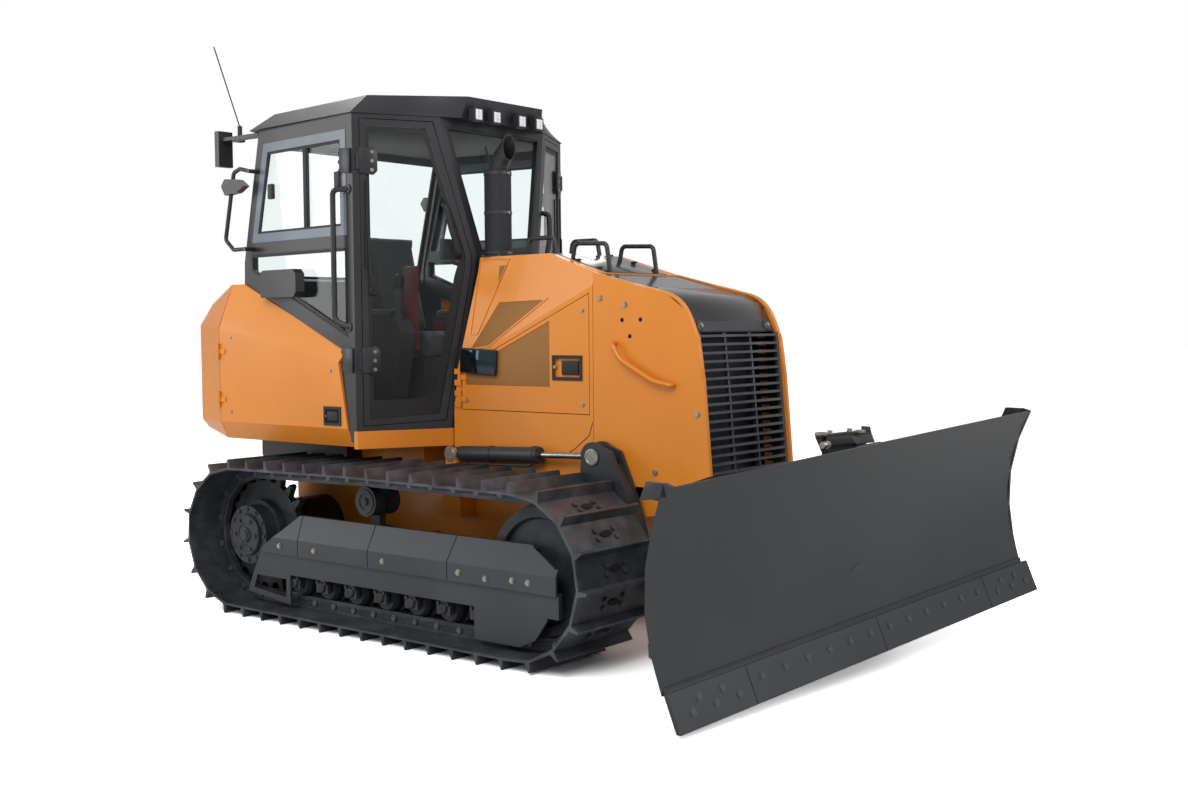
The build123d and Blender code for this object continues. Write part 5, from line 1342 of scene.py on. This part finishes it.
# ---------------------------------------------------------------- cab inside
@dataclass
class CabInside:
    """Levers, armrests, monitor, pedals and trim seen through the glass."""

    shop: Workshop

    def build(self) -> None:
        """Add the pieces."""
        shop, parts = self.shop, []
        for side in (-1, 1):
            middle = side * 355
            parts.append(block("armrest", (-1190, middle - 42, 1672), (-850, middle + 42, 1716), 14, 3))
        shop.dress(join("armrests", parts), Coat.CLOTH, slot="cab_plastic")
        knobs = []
        for side in (-1, 1):
            base = (-806.7, side * 355, 1824)
            knobs.append(turned("knob", base, (0.12, 0, 1), ((0, 20), (20, 27), (60, 31), (84, 24), (92, 10)), 20))
            knobs.append(turned("boot", (-806.7, side * 355, 1655), (0, 0, 1),
                                ((0, 46), (14, 42), (40, 22), (60, 16)), 20))
        shop.dress(join("lever_knobs", knobs), Coat.RUBBER, slot="cab_plastic")
        screen = block("monitor", (-505, -330, 1985), (-473, -190, 2100), 8)
        arm = tube("arm", [(-489, -240, 1990), (-489, -240, 1972), (-470, -170, 1956)], 12, 10)
        shop.dress(join("monitor", [screen, arm]), Coat.PLASTIC)
        glass = plate("monitor_glass", upright(-505.3, -260, 2042.5, 62, 49.5), (-1.5, 0, 0), 0.5)
        shop.dress(glass, Coat.GLOSS_BLACK, slot="cab_plastic")
        pedals = [block("pedal", (-600, y - 55, 1100), (-540, y + 55, 1112), 4) for y in (-110, 110)]
        pedals.append(block("mat", (-1180, -280, 1060.3), (-545, 280, 1066), 2, 1))
        shop.dress(join("pedals_and_mat", pedals), Coat.RUBBER, slot="cab_plastic")
        trims = [block("trim", (-1190, side * 296 - 4, 1480), (-800, side * 296 + 4, 1650), 3) for side in (-1, 1)]
        trims.append(block("column", (-850, -285, 1480), (-730, -265, 1960), 8))
        shop.dress(join("console_trim", trims), Coat.RED_TRIM)
        corners = ((-1480, -560), (-620, -700), (-450, -400), (-450, 400), (-620, 700), (-1480, 560))
        lining = plate("lining", [(x, y, 2690) for x, y in corners], (0, 0, 6), 2)
        shop.dress(lining, Coat.PLASTIC)
        belt_box = [block("belt", (-1010, side * 262 - 9, 1430), (-970, side * 262 + 9, 1560), 5) for side in (-1, 1)]
        shop.dress(join("belt_stalks", belt_box), Coat.RUBBER, slot="cab_plastic")
        LOG.info("cab inside: armrests, levers, monitor, pedals")


@dataclass(frozen=True)
class Cushion:
    """A seat cushion shaped by pressure.

    Attributes:
        node: CAD node that it replaces.
        low: Lowest corner that its cover may reach.
        high: Highest corner that its cover may reach.
        back_x: Forward place behind which its top stays under back_top.
        back_top: Height of its top behind back_x.
        pressure: Pressure inside the cover.
        cap_mm: Furthest that a point of the cover may move.
        shrink: Scale of the starting shape about its middle.
    """

    node: str
    low: tuple[float, float, float]
    high: tuple[float, float, float]
    back_x: float = -9000.0
    back_top: float = 9000.0
    pressure: float = 4.0
    cap_mm: float = 24.0
    shrink: float = 0.94

    def build(self, shop: Workshop) -> None:
        """Swell a copy of the solid and let it stand for the node.

        Args:
            shop: Workshop with the finishes and nodes.
        """
        source = shop.nodes[self.node]
        deselect()
        bpy.ops.mesh.primitive_cube_add(size=1)
        piece = bpy.context.object
        piece.data = source.data.copy()
        piece.data.transform(source.matrix_world)
        settle(piece, f"{self.node}_cover")
        low, high = (Vector(f(v.co[i] for v in piece.data.vertices) for i in range(3)) for f in (min, max))
        middle = (low + high) / 2
        for vertex in piece.data.vertices:
            vertex.co = middle + (vertex.co - middle) * self.shrink
        bpy.ops.object.mode_set(mode="EDIT")
        bpy.ops.mesh.select_all(action="SELECT")
        bpy.ops.mesh.remove_doubles(threshold=0.0002)
        bpy.ops.mesh.normals_make_consistent(inside=False)
        bpy.ops.object.mode_set(mode="OBJECT")
        self.swell(piece)
        bpy.ops.object.shade_smooth()
        shop.dress(piece, Coat.CLOTH)
        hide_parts(self.node)
        LOG.info("cushion: %s", self.node)

    def swell(self, piece: Piece) -> None:
        """Remesh the cover, run the cloth and keep its result.

        Args:
            piece: The cushion's starting mesh.
        """
        remesh = piece.modifiers.new("remesh", "REMESH")
        remesh.mode = "VOXEL"
        remesh.voxel_size = 0.009
        bpy.ops.object.modifier_apply(modifier=remesh.name)
        start = [v.co.copy() for v in piece.data.vertices]
        cloth = piece.modifiers.new("cloth", "CLOTH")
        cloth.settings.use_pressure = True
        cloth.settings.uniform_pressure_force = self.pressure
        cloth.settings.effector_weights.gravity = 0
        scene = bpy.context.scene
        for step in range(1, 21):
            scene.frame_set(step)
        bpy.ops.object.modifier_apply(modifier=cloth.name)
        scene.frame_set(1)
        for vertex, rest in zip(piece.data.vertices, start):
            move = vertex.co - rest
            if move.length > self.cap_mm * MM:
                vertex.co = rest + move.normalized() * self.cap_mm * MM
            self.hold(vertex)
        smooth = piece.modifiers.new("smooth", "SUBSURF")
        smooth.levels = smooth.render_levels = 1
        bpy.ops.object.modifier_apply(modifier=smooth.name)

    def hold(self, vertex: bpy.types.MeshVertex) -> None:
        """Keep a point of the cover clear of the seat's other parts."""
        for i in range(3):
            vertex.co[i] = min(max(vertex.co[i], self.low[i] * MM), self.high[i] * MM)
        if vertex.co[0] < self.back_x * MM:
            vertex.co[2] = min(vertex.co[2], self.back_top * MM)


CUSHIONS = (
    Cushion("seat_cushion", (-1250, -262, 1440.6), (-724, 262, 1586), back_x=-1135, back_top=1569.5),
    Cushion("seat_back", (-1402, -246, 1571.2), (-1132, 246, 2204)),
)


# ---------------------------------------------------------------- cylinders
@dataclass
class CylinderTrim:
    """Gland bands, pin caps and steel tubes of the cylinders."""

    shop: Workshop

    def build(self) -> None:
        """Add the pieces."""
        for side, name in SIDES:
            start, end = (Vector((x, side * LIFT_HALF, z)) for x, z in (LIFT_BASE, LIFT_EYE))
            self.barrel(f"lift_{name}", start, end, 41, 600, f"lift_barrel_{name}", side)
            out = (0, side, 0)
            rear = turned(f"lift_cap_rear_{name}", (LIFT_BASE[0], side * 482, LIFT_BASE[1]), out,
                          ((0, 44), (3, 44), (4, 30), (6, 28), (6.5, 10)), 28)
            self.shop.dress(rear, Coat.ZINC)
            front = turned(f"lift_cap_front_{name}", (LIFT_EYE[0], side * 487, LIFT_EYE[1]), out,
                           ((0, 42), (2, 42), (3, 34), (1.5, 32), (1.5, 12)), 28)
            self.shop.dress(front, Coat.ZINC, "c_frame")
            pivot = [((TRUNNION[0] + 36 * math.cos(a), side * 496, TRUNNION[1] + 36 * math.sin(a)), out)
                     for a in (0.5, 2.1, 3.7, 5.2)]
            self.shop.dress(bolts(f"trunnion_bolts_{name}", pivot, 8, 3), Coat.ZINC)
        forward, left, level, up = blade_axes()
        for side, name in SIDES:
            start = Vector((1181.3, side * ANGLE_HALF, ANGLE_Z))
            end = NOSE + left * side * 400 + Vector((0, 0, ANGLE_Z))
            self.barrel(f"angle_{name}", start, end, 33, 376, f"angle_barrel_{name}", 0)
        pin = NOSE + forward * BLADE_REACH + Vector((0, 0, TILT_PIN_Z))
        start = NOSE + forward * 168 + left * -80 + Vector((0, 0, TILT_Z))
        end = pin + forward * (168 - BLADE_REACH) + level * 420 + up * (TILT_Z - TILT_PIN_Z)
        self.barrel("tilt", start, end, 36, 348, "tilt_barrel", 0)
        LOG.info("cylinders: bands, caps, tubes")

    def barrel(self, name: str, start: Vector, end: Vector, radius: float, length: float, body: str,
               side: int) -> None:
        """Dress one barrel with a gland, a band and its steel tube.

        Args:
            name: Piece name.
            start: Base pin.
            end: Rod pin.
            radius: Barrel radius.
            length: Distance from the base pin to the barrel's mouth.
            body: Body of the barrel.
            side: -1 or 1 where a tube runs under the barrel, 0 for one on top.
        """
        along = (end - start).normalized()
        gland = turned("gland", start + along * (length - 46), along,
                       ((0, radius + 0.3), (1, radius + 6), (26, radius + 6), (28, radius + 2), (45, radius + 2),
                        (46.6, radius + 0.3)), 28, ring=True)
        band = turned("band", start + along * (length * 0.42), along,
                      ((0, radius + 0.3), (0.5, radius + 3.5), (22, radius + 3.5), (22.5, radius + 0.3)), 28,
                      ring=True)
        self.shop.dress(join(f"{name}_gland", [gland, band]), Coat.BLADE_GREY, body)
        down = Vector((0, 0, -1)) if side else Vector((0, 0, 1))
        offset = radius + 14
        points = [start + along * 80 + down * (radius - 2), start + along * 80 + down * offset,
                  start + along * (length - 70) + down * offset,
                  start + along * (length - 52) + down * (radius + 3)]
        self.shop.dress(tube(f"{name}_pipe", points, 8, 18), Coat.BLADE_GREY, body)


# ---------------------------------------------------------------- blade
@dataclass
class BladeTrim:
    """Edge bolts, lugs and weld ribs of the blade and its tower."""

    shop: Workshop
    span: float = 2942.0
    width: float = 2898.0
    # the blade's lower edge below the tilt pin, and its middle to the left of it
    drop: float = 323.5
    shift: float = 26.4

    def build(self) -> None:
        """Add the pieces."""
        forward, left, level, up = blade_axes()
        pin = NOSE + Vector((0, 0, TILT_PIN_Z)) + forward * BLADE_REACH
        origin = pin - up * self.drop + level * self.shift

        def spot(x: float, y: float, z: float) -> Vector:
            """Turn a place on the blade into a point of the scene."""
            return origin + forward * x + level * y + up * z

        face = (forward + up * 0.4).normalized()
        heads, bit = [], 0.167 * self.span
        cuts = (-self.span / 2, -self.span / 2 + bit, 0.0, self.span / 2 - bit, self.span / 2)
        # share of the piece's length and height of each bolt, in an end bit and in a middle piece
        end_bit = ((0.22, 62), (0.52, 62), (0.82, 62), (0.34, 108), (0.64, 108))
        middle = tuple(((k + 0.5) / 6, 96) for k in range(6))
        for i, (low, high) in enumerate(zip(cuts, cuts[1:])):
            for part, z in end_bit if i in (0, 3) else middle:
                heads.append((spot(0.2 - 0.4 * z, low + (high - low) * part, z), face))
        self.shop.dress(bolts("edge_bolts", heads, 17, 4, 16), Coat.BLADE_GREY, "blade")
        seams = [([spot(0.3 - 0.4 * z, y + w, z) for w, z in ((-2, 3), (2, 3), (2, 151), (-2, 151))], face * 0.4)
                 for y in cuts[1:4]]
        self.shop.dress(stamped("edge_seams", seams), Coat.PIT, "blade", slot="charcoal_paint")
        ribs = []
        for y in (-1180, -900, -620, 620, 900, 1180):
            ring = [spot(x, y - 6, z) for x, z in ((-158, 250), (-186, 460), (-176, 640), (-128, 820), (-100, 905),
                                                   (-118, 900), (-150, 815), (-206, 640), (-216, 460), (-190, 300))]
            ribs.append(plate("rib", ring, level * 12, 2))
        self.shop.dress(join("blade_ribs", ribs), Coat.BLADE_DARK, "blade")
        bars = []
        # height, forward place, left end and length of each bar
        for z, x, y, long in ((905, -62, -1430, 2860), (300, -146, -1430, 820), (300, -146, 610, 820)):
            ring = [spot(x, y, z - 40), spot(x - 46, y, z - 30), spot(x - 46, y, z + 30), spot(x, y, z + 40)]
            bars.append(plate("bar", ring, level * long, 3))
        self.shop.dress(join("blade_bars", bars), Coat.BLADE_DARK, "blade")
        lugs = []
        for side in (-1, 1):
            y = side * (self.width / 2 - 9)
            ring = [spot(-40, y - 9, 930), spot(-190, y - 9, 905), spot(-150, y - 9, 985), spot(-56, y - 9, 984)]
            lugs.append(plate("lug", ring, level * 18, 2))
        self.shop.dress(join("blade_lugs", lugs), Coat.BLADE_DARK, "blade")
        nuts = [(NOSE + forward * 76 + left * y + Vector((0, 0, z)), -forward)
                for y, z in ((-150, 380), (150, 380), (-150, 600), (150, 600), (-80, 940), (60, 940))]
        self.shop.dress(bolts("tower_bolts", nuts, 14, 10), Coat.ZINC, "yoke")
        self.tower(forward, left)
        LOG.info("blade: bolts, ribs, bars, lugs")

    def tower(self, forward: Vector, left: Vector) -> None:
        """Put the top bracket with its pins and hose end on the yoke's tower.

        Args:
            forward: Forward direction of the yoke.
            left: Left direction of the yoke.
        """
        def spot(x: float, y: float, z: float) -> Vector:
            """Turn a place on the yoke into a point of the scene."""
            return NOSE + forward * x + left * y + Vector((0, 0, z))

        # corner ring and push of each plate: back plate, top, front apron, slanted front, raised lip
        up = Vector((0, 0, 1))
        table = (
            ([spot(90, y, z) for y, z in ((-130, 960), (-225, 1097), (225, 1097), (110, 960))], forward * 12),
            ([spot(x, y, 1097) for x, y in ((90, -225), (120, -225), (120, 60), (90, 60))], up * 12),
            ([spot(106, y, z) for y, z in ((-173, 1052), (-173, 1113), (21, 1098), (62, 1052))], forward * 12),
            ([spot(120, 68, 1046), spot(120, 225, 1046), spot(96, 225, 1100), spot(96, 24, 1100)], -forward * 8),
            ([spot(90, y, z) for y, z in ((150, 1090), (150, 1128), (218, 1121), (225, 1090))], forward * 8),
        )
        plates = [plate("plate", ring, push, 1.5) for ring, push in table]
        self.shop.dress(join("tower_bracket", plates), Coat.BLADE_GREY, "yoke")
        pins = [turned("pin", spot(106, y, z), up, ((0, 30), (8, 30), (12, 24), (13, 9)), 24)
                for y, z in ((-198, 1108), (112, 1100))]
        pins.append(turned("hose_end", spot(128, -222, 1062), left,
                           ((0, 15), (14, 19), (16, 13), (30, 13), (32, 19), (44, 19), (48, 10)), 18))
        self.shop.dress(join("tower_pins", pins), Coat.ZINC, "yoke")
        keepers = [(spot(106, y, 1108), up) for y in (-130, 30)]
        self.shop.dress(bolts("tower_keepers", keepers, 12, 16), Coat.ZINC, "yoke")


# ---------------------------------------------------------------- rear body
@dataclass
class RearTrim:
    """Latches, tank cap and tail lamps of the rear body."""

    shop: Workshop

    def build(self) -> None:
        """Add the pieces."""
        shop = self.shop
        for side, name in SIDES:
            body = f"service_door_{name}"
            outline = ((-878, 1084), (-739, 1084), (-739, 1187), (-878, 1187))
            parts = [POD_SIDE.ring("frame", outline, 14, 0.3, 6, side),
                     POD_SIDE.slab("grip", inset(outline, 26), 0.3, 4, side, 3)]
            shop.dress(join(f"pod_latch_{name}", parts), Coat.RUBBER, body)
            # black plate inside the latch frame is painted shade for the dark of the latch's recess
            shop.dress(POD_SIDE.slab(f"pod_pit_{name}", inset(outline, 14), 0.3, 0.9, side, 0), Coat.PIT, body)
            heads = [((x, side * POD_HALF, z), (0, side, 0))
                     for x, z in ((-1700, 1130), (-1700, 1560), (-868, 1135), (-820, 1380))]
            shop.dress(bolts(f"pod_bolts_{name}", heads, 8, 6, 12), Coat.ZINC, body)
        cap = turned("tank_cap", (-1985, 330, 1817), (-0.282, 0, 1),
                     ((0, 62), (24, 62), (30, 54), (44, 50), (48, 20)), 28)
        shop.dress(cap, Coat.CAB_BLACK)
        lamps = [block("tail", (-2199, side * 520 - 55, 1560), (-2186, side * 520 + 55, 1640), 5) for side in (-1, 1)]
        shop.dress(join("tail_lamps", lamps), Coat.RED_TRIM, slot="black_paint")
        heads = [((-2197, y, z), (-1, 0, 0)) for y in (-600, -200, 200, 600) for z in (1080, 1500)]
        shop.dress(bolts("tank_bolts", heads, 12, 8), Coat.ZINC)
        LOG.info("rear body: latches, cap, lamps")


# ---------------------------------------------------------------- stage
@dataclass
class Stage:
    """Pale floor, soft lamps and the camera.

    Attributes:
        eye: Camera position in metres.
        yaw: Heading to the left of +Y, degrees.
        pitch: Downward tilt, degrees.
        roll: Turn about the view line, degrees.
        lens: Focal length in millimetres on a 36 mm sensor.
    """

    eye: tuple[float, float, float] = (4.973, -5.749, 1.619)
    yaw: float = -38.96
    pitch: float = -3.13
    roll: float = -0.44
    lens: float = 41.76

    def camera(self) -> None:
        """Place the camera."""
        yaw, pitch, roll = (math.radians(v) for v in (self.yaw, self.pitch, self.roll))
        forward = Vector((math.sin(yaw) * math.cos(pitch), math.cos(yaw) * math.cos(pitch), math.sin(pitch)))
        right = Vector((math.cos(yaw), -math.sin(yaw), 0))
        up = right.cross(forward)
        side = right * math.cos(roll) + up * math.sin(roll)
        head = up * math.cos(roll) - right * math.sin(roll)
        data = bpy.data.cameras.new("camera")
        data.lens = self.lens
        data.sensor_width = 36.0
        data.clip_end = 200.0
        camera = bpy.data.objects.new("camera", data)
        camera.matrix_world = Matrix.Translation(self.eye) @ Matrix((side, head, -forward)).transposed().to_4x4()
        bpy.context.scene.collection.objects.link(camera)
        bpy.context.scene.camera = camera

    def floor(self) -> None:
        """Lay a pale floor that reads white to the camera and keeps the machine's shadow."""
        deselect()
        bpy.ops.mesh.primitive_plane_add(size=160)
        ground = bpy.context.object
        ground.name = "floor"
        material = bpy.data.materials.new("pale_floor")
        material.use_nodes = True
        tree = material.node_tree
        plain = add_node(tree, "ShaderNodeBsdfDiffuse", {"Color": linear("E8E8E8")})
        seen = add_node(tree, "ShaderNodeBsdfDiffuse", {"Color": (2.3, 2.3, 2.3, 1.0)})
        path = add_node(tree, "ShaderNodeLightPath")
        mix = add_node(tree, "ShaderNodeMixShader", links={0: path.outputs["Is Camera Ray"], 1: plain.outputs[0],
                                                           2: seen.outputs[0]})
        tree.links.new(mix.outputs[0], tree.nodes["Material Output"].inputs["Surface"])
        ground.data.materials.append(material)

    def sky(self) -> None:
        """Surround the machine with white light."""
        world = bpy.data.worlds.new("studio")
        bpy.context.scene.world = world
        world.use_nodes = True
        tree = world.node_tree
        plain = tree.nodes["Background"]
        plain.inputs["Color"].default_value = (1, 1, 1, 1)
        plain.inputs["Strength"].default_value = 0.5
        seen = add_node(tree, "ShaderNodeBackground", {"Color": (1, 1, 1, 1), "Strength": 1.0})
        path = add_node(tree, "ShaderNodeLightPath")
        mix = add_node(tree, "ShaderNodeMixShader", links={0: path.outputs["Is Camera Ray"], 1: plain.outputs[0],
                                                           2: seen.outputs[0]})
        tree.links.new(mix.outputs[0], tree.nodes["World Output"].inputs["Surface"])

    def lamp(self, name: str, place: Point, aim: Point, size: float, watts: float) -> None:
        """Hang one soft lamp.

        Args:
            name: Lamp name.
            place: Position in metres.
            aim: Point it faces, in metres.
            size: Edge length in metres.
            watts: Power.
        """
        data = bpy.data.lights.new(name, "AREA")
        data.energy = watts
        data.shape = "SQUARE"
        data.size = size
        lamp = bpy.data.objects.new(name, data)
        lamp.location = place
        lamp.rotation_euler = (Vector(aim) - Vector(place)).to_track_quat("-Z", "Y").to_euler()
        bpy.context.scene.collection.objects.link(lamp)

    def build(self) -> None:
        """Build the whole stage."""
        self.camera()
        self.floor()
        self.sky()
        self.lamp("key_lamp", (2.5, -7.0, 7.0), (0, 0, 1), 5.0, 380)
        self.lamp("fill_lamp", (8.0, 2.0, 5.0), (0.5, 0, 1), 5.0, 210)
        self.lamp("back_lamp", (-6.0, 5.0, 6.0), (0, 0, 1.5), 5.0, 200)
        self.lamp("rear_lamp", (-8.0, -6.0, 3.5), (-1.5, 0, 1.4), 4.0, 150)
        bpy.context.scene.view_settings.view_transform = "Standard"
        LOG.info("stage: floor, sky, four lamps, camera")


@dataclass
class Solids:
    """Finishes of the solids carried over from the model."""

    shop: Workshop
    coats: dict[Coat, tuple[str, ...]] = field(default_factory=lambda: {
        Coat.YELLOW: ("engine_cover", "engine_door_right", "engine_door_left", "cowl", "rear_tank", "side_pods",
                      "service_door_right", "service_door_left", "door_sills", "main_frame", "drawbar",
                      "hood_rails"),
        Coat.CAB_BLACK: ("cab_shell", "cab_roof", "cab_door_right", "cab_door_left", "hood_handles",
                         "exhaust", "cab_floor", "cab_rails", "rear_fittings", "sill_box", "roof_lamps"),
        Coat.GLOSS_BLACK: ("hood_top",),
        Coat.BAR: ("grille",),
        Coat.BLADE_DARK: ("blade", "cutting_edges"),
        Coat.BLADE_GREY: ("c_frame", "blade_yoke", "track_frames", "track_guards",
                          "lift_barrel_right", "lift_barrel_left", "angle_barrel_right", "angle_barrel_left",
                          "tilt_barrel", "body_supports"),
        Coat.TRACK: ("track_right", "track_left"),
        Coat.CAST: ("rollers", "idlers", "sprockets", "engine_block", "radiator"),
        Coat.CHROME: ("lift_rod_right", "lift_rod_left", "angle_rod_right", "angle_rod_left", "tilt_rod"),
        Coat.PLASTIC: ("consoles", "dash", "seat_base"),
        Coat.CLOTH: ("seat_cushion", "seat_back"),
        Coat.GLASS: ("cab_glass", "door_glass_right", "door_glass_left"),
    })

    def build(self) -> None:
        """Give every solid its finish."""
        for coat, names in self.coats.items():
            self.shop.repaint(coat, *[name for name in names if name in self.shop.nodes])
        LOG.info("solids: %d finishes", len(self.coats))


def main() -> None:
    """Build the dressed machine."""
    shop = Workshop()
    Stage().build()
    Solids(shop).build()
    for detail in (TrackHardware, Undercarriage, HoodTrim, Exhaust, CabTrim, CabInside, CylinderTrim, BladeTrim,
                   RearTrim):
        detail(shop).build()
    for cushion in CUSHIONS:
        cushion.build(shop)
    deselect()


if __name__ == "__main__":
    main()
